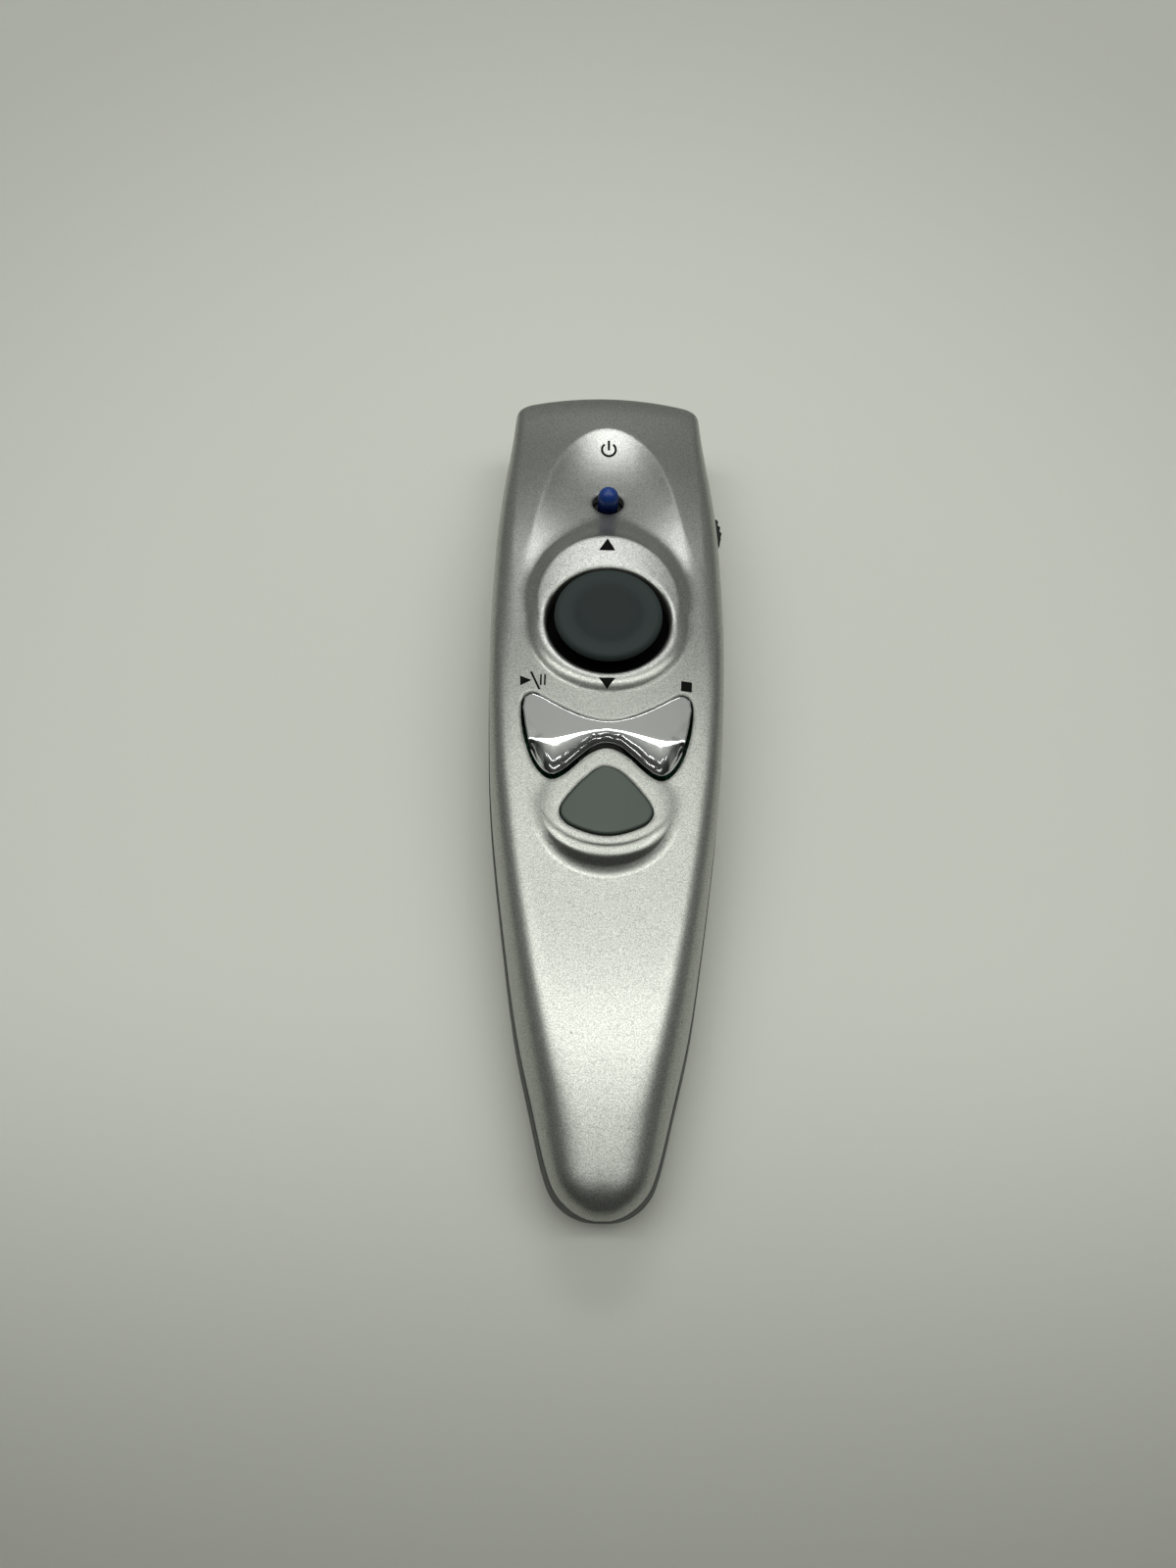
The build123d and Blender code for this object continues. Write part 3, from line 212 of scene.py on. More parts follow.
def grain_bump(tree, surface, place, size, depth, detail=2.0, base=None):
    """Fine bump whose grains are size metres wide and depth metres deep, on top of the bump base."""
    grain = add(tree, "ShaderNodeTexNoise", {"Scale": 1 / size, "Detail": detail, "Roughness": 0.6},
                {"Vector": (place, "Object")})
    bump = add(tree, "ShaderNodeBump", {"Strength": 1.0, "Distance": depth}, {"Height": (grain, "Fac")})
    if base:
        tree.links.new(base.outputs["Normal"], bump.inputs["Normal"])
    tree.links.new(bump.outputs["Normal"], surface.inputs["Normal"])


def moulded(name, colour, roughness, grain, depth, **shader):
    """Moulded plastic or rubber: even colour, with the fine spark-eroded grain of its mould, and a
    little wear that varies its gloss from place to place."""
    material, tree, surface, place = new_material(name, {"Base Color": linear(colour), **shader})
    grain_bump(tree, surface, place, grain, depth)
    wear = add(tree, "ShaderNodeTexNoise", {"Scale": 1 / WEAR_SIZE, "Detail": 3.0},
               {"Vector": (place, "Object")})
    gloss = fade(tree, (wear, "Fac"), 0.0, 1.0, roughness * (1 - WEAR_DEPTH),
                 min(1.0, roughness * (1 + WEAR_DEPTH)))
    tree.links.new(gloss.outputs["Result"], surface.inputs["Roughness"])
    return material


def soft_ring(tree, place, middle, half, rise, fall, gate):
    """A factor that is 1 in an elliptical ring seen from above and 0 elsewhere. rise and fall are where
    it starts and ends, in shares of half, and gate is where it starts along Y, in the same shares."""
    local = add(tree, "ShaderNodeVectorMath",
                {"operation": "MULTIPLY_ADD", 1: (1 / half[0], 1 / half[1], 0),
                 2: (0, -middle / half[1], 0)}, {0: (place, "Object")})
    reach = length_of(tree, (local, "Vector"))
    parts = split(tree, (local, "Vector"))
    steps = [(fade(tree, source, *ends, smooth=True), "Result")
             for source, ends in (((reach, "Value"), rise), ((reach, "Value"), fall[::-1]),
                                  ((parts, "Y"), gate))]
    inside = calculate(tree, "MULTIPLY", steps[0], steps[1])
    return calculate(tree, "MULTIPLY", (inside, "Value"), steps[2])


def silver_paint(settings):
    """Satin silver paint sprayed on ABS: aluminium flakes in a clear binder. Flake and spray grain give
    it a soft sparkle, and handling leaves small dark specks."""
    material, tree, surface, place = new_material(
        "satin silver paint on ABS",
        {"Metallic": settings.paint_metallic, "Roughness": settings.paint_roughness})
    # paint pools in the creases and thins on the edges, so that every edge is soft by about a millimetre;
    # the foot of the dome in front of the pad and the foot of the crescent step are softer still
    softer = calculate(tree, "MAXIMUM", *[(soft_ring(tree, place, *ring), "Value") for ring in SOFT_RINGS])
    radius = calculate(tree, "MULTIPLY_ADD", (softer, "Value"), EXTRA_SOFTNESS, settings.paint_softness)
    rounded = add(tree, "ShaderNodeBevel", {"samples": EDGE_SAMPLES}, {"Radius": (radius, "Value")})
    parts = split(tree, (place, "Object"))
    square = calculate(tree, "MULTIPLY", (parts, "X"), (parts, "X"))
    # the paint flows out on the four soft forms: the land round the pad swells and leans ahead a little
    # more than the shell below it, the saddle leans back, and the crescent step falls more steeply
    form = rounded
    for height, ring, depth in (
            ((square, "Value"), LAND_RING, -LAND_SWELL),
            ((parts, "Y"), LEAN_RING, LAND_LEAN),
            ((parts, "Y"), SADDLE_RING, SADDLE_LEAN),
            ((soft_ring(tree, place, *CRESCENT_RING), "Value"), CRESCENT_GATE, CRESCENT_FALL)):
        form = add(tree, "ShaderNodeBump", {"Distance": depth},
                   {"Height": height, "Normal": (form, "Normal"),
                    "Strength": (soft_ring(tree, place, *ring), "Value")})
    grain_bump(tree, surface, place, *PAINT_GRAIN, 3.0, form)
    flake = add(tree, "ShaderNodeTexNoise", {"Scale": 1 / FLAKE_SIZE, "Detail": 1.0},
                {"Vector": (place, "Object")})
    tone = fade(tree, (flake, "Fac"), *FLAKE_EDGE)
    paint = mix(tree, (tone, "Result"), PAINT_DARK, PAINT_LIGHT)
    speck = dots(tree, place, SPECK_SPACING, SPECK_EDGE, SPECK_COVER)
    dirty = mix(tree, (speck, "Result"), (paint, 2), DIRT)
    tree.links.new(dirty.outputs[2], surface.inputs["Base Color"])
    return material


def chrome_plate():
    """Bright chrome plated on ABS: a mirror, with a few pits where dust lay under the plating. Only the
    top is chrome: the upright skirt is painted black, as painted shade for the gap round the key."""
    material, tree, surface, place = new_material(
        "bright chrome plate on ABS", {"Metallic": 1.0, "Roughness": CHROME_ROUGHNESS})
    pit = dots(tree, place, PIT_SPACING, PIT_EDGE, PIT_COVER)
    colour = mix(tree, (pit, "Result"), CHROME, DIRT)
    # painted shade: faces that stand upright are painted black, for the shadow in the gap round the key
    geometry = add(tree, "ShaderNodeNewGeometry")
    upright = split(tree, (geometry, "True Normal"))
    top = fade(tree, (upright, "Z"), *CHROME_SKIRT_TILT)
    plated = mix(tree, (top, "Result"), CHROME_SKIRT_SHADE, (colour, 2))
    tree.links.new(plated.outputs[2], surface.inputs["Base Color"])
    # the slow waviness of a moulding under thin plating
    grain_bump(tree, surface, place, *CHROME_WAVE, 1.0)
    return material


def thumb_rubber():
    """Charcoal silicone rubber: matt and grey round the rim, with painted shade that darkens its dished
    middle and paints its skirt black, for the shadow in the gap round the pad."""
    material, tree, surface, place = new_material("charcoal silicone rubber, matt",
                                                  {"Roughness": 0.66, "Specular IOR Level": 0.3})
    low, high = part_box("nav_pad")
    across = add(tree, "ShaderNodeVectorMath",
                 {"operation": "MULTIPLY_ADD", 1: (1, 1, 0), 2: (0, -(low.y + high.y) / 2, 0)},
                 {0: (place, "Object")})
    reach = length_of(tree, (across, "Vector"))
    # painted shade: the dished middle is darker and the rim lighter
    dish_shade = fade(tree, (reach, "Value"), *PAD_DISH_SHADE, smooth=True)
    top = mix(tree, (dish_shade, "Result"), "#222B2B", "#2B3535")
    parts = split(tree, (place, "Object"))
    # painted shade: black below the rim, for the shadow in the gap round the pad
    above = fade(tree, (parts, "Z"), high.z - PAD_SKIRT_SHADE[0], high.z - PAD_SKIRT_SHADE[1])
    both = mix(tree, (above, "Result"), "#050505", (top, 2))
    tree.links.new(both.outputs[2], surface.inputs["Base Color"])
    grain_bump(tree, surface, place, 0.2 * MM, 0.005 * MM)
    return material


def shaded_blue_button():
    """Satin blue ABS button with painted shade: black at its foot in the well, navy low on the cap and
    lighter blue at its lit top.
    """
    material, tree, surface, place = new_material("blue ABS button, painted shade at its foot", {"Roughness": 0.4})
    parts = split(tree, (place, "Object"))
    low, high = [end.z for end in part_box("power_button")]
    # painted shade: black at the foot, navy low on the cap and lighter blue at its lit top
    cap = fade(tree, (parts, "Z"), low + BUTTON_FOOT_SHADE * (high - low), high)
    tone = colour_ramp(tree, (cap, "Result"), ((0.0, "#040406"), (0.12, "#06205C"), (1.0, "#0A3A86")))
    tree.links.new(tone.outputs["Color"], surface.inputs["Base Color"])
    grain_bump(tree, surface, place, 0.5 * MM, 0.001 * MM)
    return material


def laminate():
    """Glass-epoxy board under green solder mask: copper tracks show through as a lighter green."""
    material, tree, surface, place = new_material("glass-epoxy board, green mask", {"Roughness": 0.32})
    track = add(tree, "ShaderNodeTexVoronoi",
                {"Scale": 1 / TRACK_SPACING, "distance": "MANHATTAN", "feature": "DISTANCE_TO_EDGE"},
                {"Vector": (place, "Object")})
    edge = fade(tree, (track, "Distance"), *TRACK_EDGE, 1.0, 0.0)
    mask = mix(tree, (edge, "Result"), "#0E4A2C", "#2A7A4C")
    tree.links.new(mask.outputs[2], surface.inputs["Base Color"])
    grain_bump(tree, surface, place, 0.4 * MM, 0.01 * MM)
    return material


def cell_jacket(name, start, end):
    """Printed film shrunk on a steel can: black, and copper on the last part towards its end along Y."""
    material, tree, surface, place = new_material(name, {"Roughness": 0.28, "Metallic": 0.3})
    parts = split(tree, (place, "Object"))
    share = fade(tree, (parts, "Y"), start, end)
    band = colour_ramp(tree, (share, "Result"), ((0.0, "#17181A"), (CELL_BAND, "#B4652F")), "CONSTANT")
    tree.links.new(band.outputs["Color"], surface.inputs["Base Color"])
    grain_bump(tree, surface, place, 0.8 * MM, 0.004 * MM)
    return material


class ClickerFinish(bpy.types.PropertyGroup):
    """Sizes and finishes that a user would change."""
    paint_metallic: FloatProperty(name="Flake", description="How metallic the silver paint is",
                                  default=0.88, min=0, max=1, subtype="FACTOR")
    paint_roughness: FloatProperty(name="Paint roughness", description="Satin of the silver paint",
                                   default=0.31, min=0, max=1, subtype="FACTOR")
    paint_softness: FloatProperty(name="Edge softness", description="Radius that paint gives to an edge",
                                  default=0.9 * MM, min=0, max=5 * MM, unit="LENGTH")
    floor_colour: FloatVectorProperty(name="Table", description="Colour of the table", subtype="COLOR",
                                      size=4, default=linear("#D8D9D2"), min=0, max=1)
    sign_colour: FloatVectorProperty(name="Print", description="Ink of the printed signs", subtype="COLOR",
                                     size=4, default=linear("#060606"), min=0, max=1)
    sign_thickness: FloatProperty(name="Print thickness", description="Thickness of the printed ink",
                                  default=0.02 * MM, min=0, max=0.2 * MM, unit="LENGTH")
    ceiling_glow: FloatProperty(name="Ceiling glow", description="Brightness of the lit ceiling overhead",
                                default=9.2, min=0)
    front_light: FloatProperty(name="Front light", description="Power of the light beyond the nose",
                               default=1.95, min=0, unit="POWER")
    strip_light: FloatProperty(name="Strip light", description="Power of one lamp of the strips behind",
                               default=0.014, min=0, unit="POWER")


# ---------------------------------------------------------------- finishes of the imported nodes
def finish_nodes(settings):
    """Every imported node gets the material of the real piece."""
    black = moulded("black ABS, spark-eroded", "#161616", 0.5, 0.3 * MM, 0.008 * MM)
    nylon = moulded("black nylon, moulded", "#1B1B1D", 0.45, 0.25 * MM, 0.004 * MM)
    acetal = moulded("white acetal, moulded", "#D9D8D0", 0.35, 0.4 * MM, 0.002 * MM)
    zinc = moulded("zinc-plated steel", "#A9ABAC", 0.28, 0.3 * MM, 0.002 * MM, Metallic=1.0)
    nickel = moulded("nickel-plated brass", "#C4BFAE", 0.22, 0.4 * MM, 0.002 * MM, Metallic=1.0)
    left, right = [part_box(name) for name in ("battery_left", "battery_right")]
    finishes = {
        "top_shell": silver_paint(settings),
        "bottom_shell": black,
        "battery_door": black,
        "battery_left": cell_jacket("printed cell jacket, band in front", left[0].y, left[1].y),
        "battery_right": cell_jacket("printed cell jacket, band behind", right[1].y, right[0].y),
        "battery_springs": moulded("spring steel, nickel-plated", "#B5B2A8", 0.25, 0.3 * MM, 0.002 * MM,
                                   Metallic=1.0),
        "battery_contacts": nickel,
        "circuit_board": laminate(),
        "board_screws": zinc,
        "housing_screws": zinc,
        "controller_chip": moulded("moulded chip resin", "#1F2123", 0.6, 0.2 * MM, 0.006 * MM),
        "rf_shield_can": moulded("tin-plated steel", "#B9BABB", 0.38, 0.9 * MM, 0.006 * MM, Metallic=1.0),
        "crystal": moulded("nickel silver can", "#C9C8C2", 0.2, 0.5 * MM, 0.002 * MM, Metallic=1.0),
        "nav_base": nylon,
        "nav_gimbal": acetal,
        "nav_stick": acetal,
        "nav_pad": thumb_rubber(),
        # painted shade: darker than the other black ABS, for the shadow deep in the well round the pad
        "nav_well_liner": moulded("black ABS, darkened as painted shade", "#020202", 0.8, 0.3 * MM, 0.003 * MM,
                                  **{"Specular IOR Level": 0.08}),
        "rocker_bracket": acetal,
        "rocker_pin": moulded("ground steel pin", "#B0B1B3", 0.2, 0.2 * MM, 0.001 * MM, Metallic=1.0),
        "rocker_key": chrome_plate(),
        "play_switch": nylon,
        "stop_switch": nylon,
        "enter_switch": nylon,
        "power_switch": nylon,
        "enter_plunger": moulded("red acetal plunger", "#8E1F1A", 0.4, 0.3 * MM, 0.002 * MM),
        "power_plunger": acetal,
        "enter_button": moulded("grey-green ABS, satin", "#4C554F", 0.45, 0.25 * MM, 0.004 * MM),
        "power_button": shaded_blue_button(),
        "mode_slider": moulded("black acetal, moulded", "#060606", 0.5, 0.3 * MM, 0.003 * MM,
                               **{"Specular IOR Level": 0.25}),
        "mode_switch": nylon,
        "laser_barrel": moulded("machined brass", "#C9A552", 0.26, 0.3 * MM, 0.003 * MM, Metallic=1.0),
        "laser_diode": moulded("gold-plated can", "#D9B65A", 0.2, 0.4 * MM, 0.002 * MM, Metallic=1.0),
        "laser_lens": moulded("clear acrylic lens", "#F4F7F8", 0.05, 0.9 * MM, 0.0001 * MM,
                              **{"Transmission Weight": 1.0, "IOR": 1.49}),
        "laser_bezel": moulded("black anodised aluminium", "#202226", 0.3, 0.2 * MM, 0.003 * MM,
                               Metallic=0.8),
    }
    for name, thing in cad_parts.items():
        thing.data.materials.clear()
        thing.data.materials.append(finishes[name])


class CLICKER_OT_finishes(bpy.types.Operator):
    """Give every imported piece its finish"""
    bl_idname = "clicker.finishes"
    bl_label = "Finishes"

    def execute(self, context):
        finish_nodes(context.scene.clicker)
        return {"FINISHED"}


# ---------------------------------------------------------------- making pieces
def new_piece(name, shape, material, body):
    """Turns a bmesh, in metres and in place, into a piece that rides on a body."""
    data = bpy.data.meshes.new(name)
    shape.to_mesh(data)
    shape.free()
    data.materials.append(material)
    piece = bpy.data.objects.new(name, data)
    bpy.context.scene.collection.objects.link(piece)
    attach(piece, body)
    return piece


ROW_STEPS = 24    # steps between two points of a row


def smooth_row(points, count):
    """count places along a smooth row through 2-D points, in millimetres, closer near its ends."""
    points = [Vector(point) for point in points]
    before, after = 2 * points[0] - points[1], 2 * points[-1] - points[-2]
    ring = [before, *points, after]
    fine = []
    for i in range(1, len(ring) - 2):
        m0 = (ring[i + 1] - ring[i - 1]) / 2
        m1 = (ring[i + 2] - ring[i]) / 2
        for k in range(ROW_STEPS):
            t = k / ROW_STEPS
            fine.append((2 * t**3 - 3 * t**2 + 1) * ring[i] + (t**3 - 2 * t**2 + t) * m0
                        + (3 * t**2 - 2 * t**3) * ring[i + 1] + (t**3 - t**2) * m1)
    fine.append(points[-1])
    lengths = [0.0]
    for one, two in zip(fine, fine[1:]):
        lengths.append(lengths[-1] + (two - one).length)
    places = []
    k = 0
    for i in range(count):
        want = lengths[-1] * (1 - cos(pi * i / (count - 1))) / 2
        while k < len(fine) - 2 and lengths[k + 1] < want:
            k += 1
        share = (want - lengths[k]) / (lengths[k + 1] - lengths[k])
        places.append(fine[k].lerp(fine[k + 1], min(1.0, share)))
    return places


# ---------------------------------------------------------------- chrome rocker key
# Right half of the key's rim in millimetres: the front edge and the tail edge, both from the middle out
KEY_FRONT = ((0.0, -0.72), (3.4, -0.12), (6.4, 1.18), (9.0, 2.7), (10.8, 3.85), (12.4, 4.5), (13.45, 3.85),
             (13.85, 2.2))
KEY_TAIL = ((0.0, -4.15), (2.2, -4.75), (4.4, -6.4), (6.6, -8.2), (8.5, -9.15), (10.1, -8.6), (11.5, -6.8),
            (12.6, -4.2), (13.3, -1.2), (13.65, 0.8), (13.85, 2.2))
KEY_RIDGE = ((0.0, -2.0), (4.0, -2.5), (9.4, -3.4), (13.6, -3.7))    # where the roll to the tail edge starts
KEY_CREASE = ((13.2, 0.6), (10.5, -2.9), (9.4, -9.1))                # fold to the outer facet
KEY_CROWN = (23.35, 0.045)     # height on the ridge at the middle, and its slope along Y
KEY_SPREAD = 105.0             # radius across the body
KEY_DROP = (0.95, 1.9)         # fall of the rolled edge in the middle and in the wings
KEY_FACET = 0.21               # fall of the outer facets, a share of the distance past the fold
KEY_FOLD = 0.25                # rounding of the fold
KEY_LIP = 0.25                 # radius of the rim
KEY_SKIRT = 20.6               # height of its underside
KEY_LEAST = 1.5                # least width of the roll
KEY_BEND = 0.22                # share of the roll in which it turns down; the rest steepens slowly
KEY_WING = 8.0                 # distance from the middle at which the wings have their full roll
KEY_CELLS = (220, 64)          # faces along the key and across it
KEY_WELD = 0.002               # vertices closer than this are joined
KEY_SHARP = 50                 # edges with a larger angle, in degrees, aren't smoothed


def level_at(row, x):
    """Y of a row of points at a distance from the middle, in millimetres."""
    for one, two in zip(row, row[1:]):
        if x <= two[0]:
            return one[1] + (two[1] - one[1]) * (x - one[0]) / (two[0] - one[0])
    return row[-1][1]


def past_line(x, y, one, two):
    """Distance outwards from the line through one and two, in millimetres."""
    along = (Vector(two) - Vector(one)).normalized()
    return (x - one[0]) * -along.y + (y - one[1]) * along.x


def key_height(place, inside):
    """Height of the key's top in millimetres, at a place that far inside its rim."""
    x, y = abs(place.x), place.y
    level = KEY_CROWN[0] + KEY_CROWN[1] * (y - KEY_RIDGE[0][1]) - x**2 / (2 * KEY_SPREAD)
    wing = min(1.0, x / KEY_WING)
    wing = wing**2 * (3 - 2 * wing)
    # roll from the ridge down to the tail edge
    ridge = level_at(KEY_RIDGE, x)
    edge = min(level_at(KEY_TAIL, x), ridge - KEY_LEAST)
    share = min(1.0, max(0.0, (ridge - y) / (ridge - edge)))
    drop = KEY_DROP[0] + (KEY_DROP[1] - KEY_DROP[0]) * wing
    bent = share**2 / (2 * KEY_BEND) if share < KEY_BEND else share - KEY_BEND / 2
    level -= drop * (bent + share**3 / 3) / (4 / 3 - KEY_BEND / 2)
    # outer facet past the two straight folds
    past = min(past_line(x, y, one, two) for one, two in zip(KEY_CREASE, KEY_CREASE[1:]))
    level -= KEY_FACET * (past + sqrt(past**2 + KEY_FOLD**2)) / 2
    # rounded rim
    if inside < KEY_LIP:
        level -= KEY_LIP - sqrt(KEY_LIP**2 - (KEY_LIP - inside) ** 2)
    return level


def full_edge(half, count):
    """Both halves of an edge of the key, from its left end to its right end."""
    return smooth_row([(-x, y) for x, y in reversed(half[1:])] + list(half), count)


class CLICKER_OT_key(bpy.types.Operator):
    """Make the chrome rocker key, with its rolled tail edge and folded wings"""
    bl_idname = "clicker.key"
    bl_label = "Chrome key"

    def execute(self, context):
        along, over = KEY_CELLS
        front = full_edge(KEY_FRONT, along + 1)
        tail = full_edge(KEY_TAIL, along + 1)
        rim_places = front + tail
        nearest = KDTree(len(rim_places))
        for i, place in enumerate(rim_places):
            nearest.insert((place.x, place.y, 0), i)
        nearest.balance()
        shape = bmesh.new()
        grid = bmesh.ops.create_grid(shape, x_segments=along, y_segments=over, size=0.5)
        for vert in grid["verts"]:
            column = round((vert.co.x + 0.5) * along)
            across = (1 - cos(pi * (0.5 - vert.co.y))) / 2
            place = front[column].lerp(tail[column], across)
            inside = nearest.find((place.x, place.y, 0))[2]
            vert.co = Vector((place.x, place.y, key_height(place, inside))) * MM
        bmesh.ops.remove_doubles(shape, verts=shape.verts, dist=KEY_WELD * MM)
        rim = [edge for edge in shape.edges if edge.is_boundary]
        skirt = bmesh.ops.extrude_edge_only(shape, edges=rim)
        low = [item for item in skirt["geom"] if isinstance(item, bmesh.types.BMVert)]
        for vert in low:
            vert.co.z = KEY_SKIRT * MM
        bmesh.ops.contextual_create(shape, geom=[edge for edge in shape.edges if edge.is_boundary])
        bmesh.ops.recalc_face_normals(shape, faces=shape.faces)
        for face in shape.faces:
            face.smooth = True
        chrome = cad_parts["rocker_key"].data.materials[0]
        key = new_piece("chrome_key", shape, chrome, "rocker")
        key.data.set_sharp_from_angle(angle=radians(KEY_SHARP))
        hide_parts("rocker_key")
        return {"FINISHED"}


# ---------------------------------------------------------------- printed signs
SIGN_STROKE = 0.44     # width of the power ring's line
SIGN_CUTS = 4          # cuts in each sign's edges, so that it follows the shell
RING_STEPS = 40
# Corners of each plain sign in millimetres, seen from above
SIGNS = {
    "sign_forward": (((-1.70, 32.75), (1.21, 32.75), (-0.16, 35.33)),),
    "sign_back": (((-1.55, 6.8), (-0.12, 5.0), (1.28, 6.8)),),
    "sign_play_pause": (
        ((-14.49, 7.82), (-14.42, 6.01), (-12.55, 6.92)),
        ((-12.88, 8.46), (-11.40, 5.16), (-11.02, 5.16), (-12.50, 8.46)),
        ((-11.16, 7.9), (-11.16, 5.95), (-10.88, 5.95), (-10.88, 7.9)),
        ((-10.50, 7.9), (-10.50, 5.95), (-10.22, 5.95), (-10.22, 7.9)),
    ),
    "sign_stop": (((12.2, 7.28), (12.14, 5.48), (13.96, 5.40), (14.02, 7.2)),),
    "sign_power_bar": (((-0.07, 60.75), (0.37, 60.75), (0.37, 63.2), (-0.07, 63.2)),),
}
POWER_RING = (0.15, 60.95, 1.30, 38.0)   # x, y, radius of the ring's middle line, half of its opening
RING_STRETCH = 1.24                      # it is longer along the slope that it lies on


def lay_on_housing(shape, tree, lift):
    """Drops a flat mesh straight down on the upper shell and raises it by lift."""
    for vert in shape.verts:
        hit = tree.ray_cast(Vector((vert.co.x, vert.co.y, cad_high.z + 10 * MM)), Vector((0, 0, -1)))
        if hit[0] is None:
            raise RuntimeError("a sign hangs over an opening of the upper shell")
        vert.co.z = hit[0].z + lift


class CLICKER_OT_signs(bpy.types.Operator):
    """Print the signs on the upper shell"""
    bl_idname = "clicker.signs"
    bl_label = "Printed signs"

    def execute(self, context):
        settings = context.scene.clicker
        ink, tree, surface, place = new_material(
            "pad-printed ink", {"Base Color": settings.sign_colour, "Roughness": 0.6,
                                "Specular IOR Level": 0.08})
        grain_bump(tree, surface, place, 0.15 * MM, 0.002 * MM)
        shell = bmesh.new()
        shell.from_mesh(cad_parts["top_shell"].data)
        housing = BVHTree.FromBMesh(shell)
        flats = {}
        for name, outlines in SIGNS.items():
            flats[name] = shape = bmesh.new()
            for outline in outlines:
                corners = [shape.verts.new((x * MM, y * MM, 0)) for x, y in outline]
                bmesh.ops.contextual_create(shape, geom=corners)
        x, y, radius, opening = POWER_RING
        flats["sign_power_ring"] = shape = bmesh.new()
        aside, ahead = sin(radians(opening)), cos(radians(opening))
        foot = [shape.verts.new((x * MM + r * MM * aside, y * MM + r * MM * ahead, 0))
                for r in (radius - SIGN_STROKE / 2, radius + SIGN_STROKE / 2)]
        line = shape.edges.new(foot)
        bmesh.ops.spin(shape, geom=[*foot, line], cent=(x * MM, y * MM, 0), axis=(0, 0, -1),
                       angle=radians(360 - 2 * opening), steps=RING_STEPS)
        bmesh.ops.scale(shape, vec=(1, RING_STRETCH, 1), space=Matrix.Translation((-x * MM, -y * MM, 0)),
                        verts=shape.verts)
        for name, shape in flats.items():
            if name != "sign_power_ring":
                bmesh.ops.triangulate(shape, faces=shape.faces)
                bmesh.ops.subdivide_edges(shape, edges=shape.edges, cuts=SIGN_CUTS, use_grid_fill=True)
            lay_on_housing(shape, housing, settings.sign_thickness / 4)
            bmesh.ops.recalc_face_normals(shape, faces=shape.faces)
            if sum(face.normal.z for face in shape.faces) < 0:
                bmesh.ops.reverse_faces(shape, faces=shape.faces)
            bmesh.ops.solidify(shape, geom=shape.faces, thickness=-settings.sign_thickness)
            bmesh.ops.recalc_face_normals(shape, faces=shape.faces)
            new_piece(name, shape, ink, "housing")
        shell.free()
        return {"FINISHED"}


# ---------------------------------------------------------------- stage
CAMERA_PLACE = (-5.72 * MM, -95.39 * MM, 189.31 * MM)
CAMERA_DOWN = 63.38            # degrees below the horizon
CAMERA_ROLL = 2.889            # degrees
CAMERA_YAW = -1.873            # degrees from +Y
CAMERA_LENS = 27.0             # mm on a frame 36 mm high
CAMERA_FRAME = 36.0
CAMERA_NEAR = 0.01             # m
LAMP_COLOUR = "#FFFFFF"


def panel_light(name, power, size, place):
    """A rectangular soft light at place, facing the origin."""
    light = bpy.data.lights.new(name, "AREA")
    light.shape = "RECTANGLE"
    light.size, light.size_y = size
    light.energy = power
    light.color = linear(LAMP_COLOUR)[:3]
    lamp = bpy.data.objects.new(name, light)
    bpy.context.scene.collection.objects.link(lamp)
    lamp.location = place
    lamp.rotation_euler = (Vector((0, 0, 0)) - Vector(place)).to_track_quat("-Z", "Y").to_euler()


FLOOR_HALF = 1.5                        # half of the table's side, m
FLOOR_NEAR = (-30 * MM, -135 * MM)      # along Y, where the near shade starts and where it is full
FLOOR_FAR = (70 * MM, 260 * MM)         # distances from the middle for the shade of the corners
FLOOR_MIDDLE = (0, 20 * MM, 0)
FLOOR_SHADE = (0.46, 0.26)              # how much of SHADE the near side and the corners take
SHADE = "#26241E"


def make_floor(settings):
    """A table top, whose light falls off towards its near edge and towards its corners."""
    floor_mesh = bmesh.new()
    bmesh.ops.create_grid(floor_mesh, x_segments=1, y_segments=1, size=FLOOR_HALF)
    data = bpy.data.meshes.new("table_top")
    floor_mesh.to_mesh(data)
    floor_mesh.free()
    floor = bpy.data.objects.new("table_top", data)
    bpy.context.scene.collection.objects.link(floor)
    floor.location.z = cad_low.z
    material, tree, surface, place = new_material("white laminate table", {"Roughness": 0.6})
    parts = split(tree, (place, "Object"))
    near = fade(tree, (parts, "Y"), *FLOOR_NEAR, 0.0, FLOOR_SHADE[0], smooth=True)
    middle = add(tree, "ShaderNodeVectorMath", {"operation": "SUBTRACT", 1: FLOOR_MIDDLE},
                 {0: (place, "Object")})
    reach = length_of(tree, (middle, "Vector"))
    far = fade(tree, (reach, "Value"), *FLOOR_FAR, 0.0, FLOOR_SHADE[1], smooth=True)
    shade = calculate(tree, "ADD", (near, "Result"), (far, "Result"))
    tone = mix(tree, (shade, "Value"), settings.floor_colour, SHADE)
    tree.links.new(tone.outputs[2], surface.inputs["Base Color"])
    grain_bump(tree, surface, place, 3 * MM, 0.01 * MM)
    data.materials.append(material)


# Lamps, in metres: one beyond the nose, and two broken strips above the camera
FRONT_PLACE = (0, 0.79, 0.90)
FRONT_SIZE = (0.50, 0.20)
STRIP_ANGLES = (19.0, 28.0)     # degrees from the zenith, towards the tail
STRIP_LAMPS = 9
STRIP_PITCH = 0.11
STRIP_SIZE = (0.06, 0.012)
STRIP_DISTANCE = 1.2
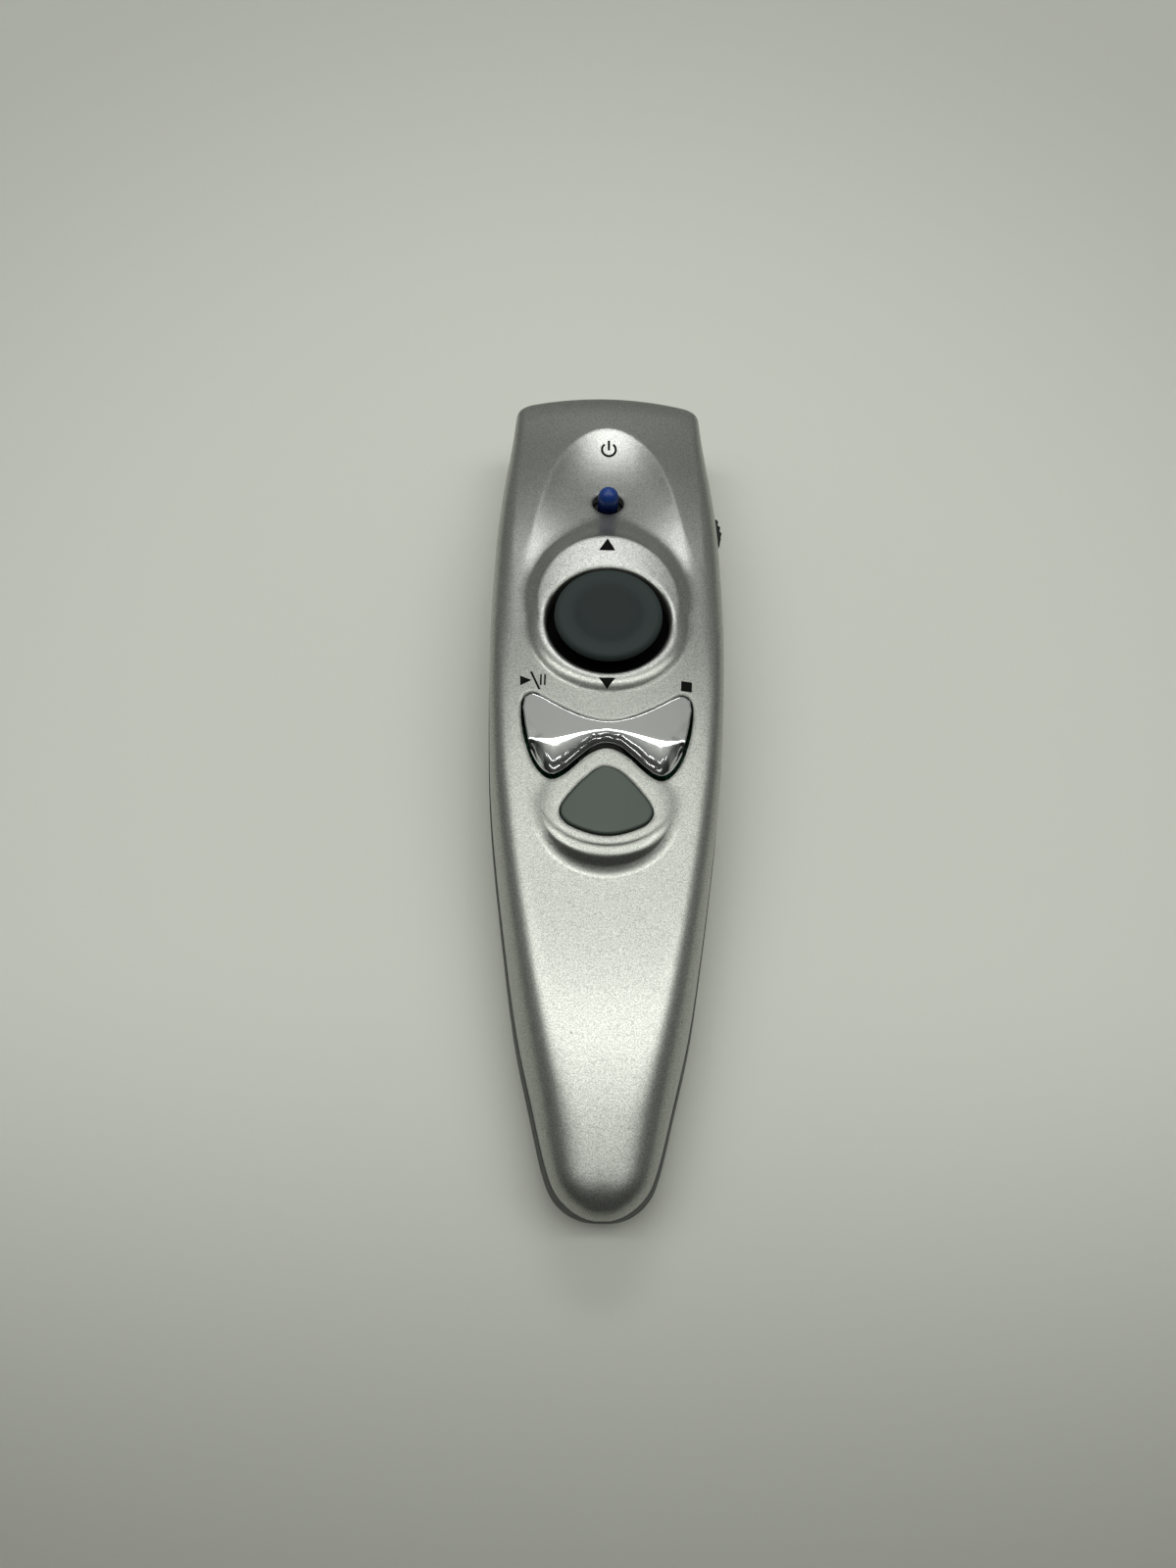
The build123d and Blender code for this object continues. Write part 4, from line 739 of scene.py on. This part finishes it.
# Brightness of the room by the sine of the height above the horizon
ROOM = ((0.0, 0.10), (0.39, 0.20), (0.6, 0.14), (0.77, 0.30), (0.87, 0.42), (1.0, 0.50))
ROOM_BEHIND = 0.13              # share of that which is left behind the tail
BEHIND = (-0.40, -0.15)         # sines of the angle to the front between which it starts
ROOM_COLOUR = "#FCFFF8"
# Three soft rows of ceiling lamps, by the sine of the angle towards the front plus the shift
CEILING_SHIFT = 0.5
CEILING_ROWS = ((0.35, 0.0), (0.365, 0.6), (0.385, 0.6), (0.40, 0.0), (0.45, 0.0), (0.465, 0.65),
                (0.49, 0.65), (0.51, 0.0), (0.57, 0.0), (0.59, 1.0), (0.62, 1.0), (0.66, 0.0))
CEILING_WIDTH = (0.80, 0.56)    # sines of the angle to the side, where the rows end and where they are full


def make_room(scene, settings):
    """A plain room: dim at the level of the table, dark behind the tail, brighter overhead, with three
    soft rows of lamps on the ceiling."""
    world = bpy.data.worlds.new("room")
    scene.world = world
    world.use_nodes = True
    tree = world.node_tree
    tree.nodes.clear()
    place = add(tree, "ShaderNodeTexCoord")
    parts = split(tree, (place, "Generated"))
    walls = colour_ramp(tree, (parts, "Z"), ROOM)
    behind = fade(tree, (parts, "Y"), *BEHIND, ROOM_BEHIND, 1.0, smooth=True)
    base = calculate(tree, "MULTIPLY", (walls, "Color"), (behind, "Result"))
    along = calculate(tree, "ADD", (parts, "Y"), CEILING_SHIFT)
    rows = colour_ramp(tree, (along, "Value"), CEILING_ROWS)
    aside = calculate(tree, "ABSOLUTE", (parts, "X"))
    width = fade(tree, (aside, "Value"), *CEILING_WIDTH, 0.0, settings.ceiling_glow, smooth=True)
    glow = calculate(tree, "MULTIPLY", (rows, "Color"), (width, "Result"))
    upward = calculate(tree, "GREATER_THAN", (parts, "Z"), 0.0)
    lit = calculate(tree, "MULTIPLY_ADD", (glow, "Value"), (upward, "Value"), (base, "Value"))
    back = add(tree, "ShaderNodeBackground", {"Color": linear(ROOM_COLOUR)}, {"Strength": (lit, "Value")})
    add(tree, "ShaderNodeOutputWorld", links={"Surface": (back, "Background")})


class CLICKER_OT_stage(bpy.types.Operator):
    """Make the table, the lights and the camera"""
    bl_idname = "clicker.stage"
    bl_label = "Stage"

    def execute(self, context):
        scene = context.scene
        settings = scene.clicker
        make_floor(settings)
        panel_light("front_light", settings.front_light, FRONT_SIZE, FRONT_PLACE)
        for row, angle in enumerate(STRIP_ANGLES):
            for i in range(STRIP_LAMPS):
                side = (i - (STRIP_LAMPS - 1) / 2) * STRIP_PITCH
                place = Vector((side, -sin(radians(angle)), cos(radians(angle)))) * STRIP_DISTANCE
                panel_light(f"strip_lamp_{row}_{i}", settings.strip_light, STRIP_SIZE, place)
        make_room(scene, settings)
        camera = bpy.data.cameras.new("camera")
        camera.lens = CAMERA_LENS
        camera.sensor_width = CAMERA_FRAME
        camera.sensor_fit = "AUTO"
        camera.clip_start = CAMERA_NEAR
        holder = bpy.data.objects.new("camera", camera)
        scene.collection.objects.link(holder)
        turn = (Matrix.Rotation(radians(CAMERA_YAW), 4, "Z")
                @ Matrix.Rotation(radians(90 - CAMERA_DOWN), 4, "X")
                @ Matrix.Rotation(radians(CAMERA_ROLL), 4, "Z"))
        holder.matrix_world = Matrix.Translation(CAMERA_PLACE) @ turn
        scene.camera = holder
        scene.view_settings.view_transform = "Standard"
        return {"FINISHED"}


class CLICKER_PT_panel(bpy.types.Panel):
    """Sidebar panel that lists the steps"""
    bl_idname = "CLICKER_PT_panel"
    bl_label = "Presentation clicker"
    bl_space_type = "VIEW_3D"
    bl_region_type = "UI"
    bl_category = "Clicker"

    def draw(self, context):
        for step in STEPS:
            self.layout.operator(step.bl_idname)
        for name in ClickerFinish.__annotations__:
            self.layout.prop(context.scene.clicker, name)


STEPS = (CLICKER_OT_finishes, CLICKER_OT_key, CLICKER_OT_signs, CLICKER_OT_stage)
CLASSES = (ClickerFinish, *STEPS, CLICKER_PT_panel)


def register():
    for made in CLASSES:
        bpy.utils.register_class(made)
    bpy.types.Scene.clicker = PointerProperty(type=ClickerFinish)


def unregister():
    del bpy.types.Scene.clicker
    for made in reversed(CLASSES):
        bpy.utils.unregister_class(made)


def main():
    register()
    for step in STEPS:
        group, name = step.bl_idname.split(".")
        getattr(getattr(bpy.ops, group), name)()


if __name__ == "__main__":
    main()
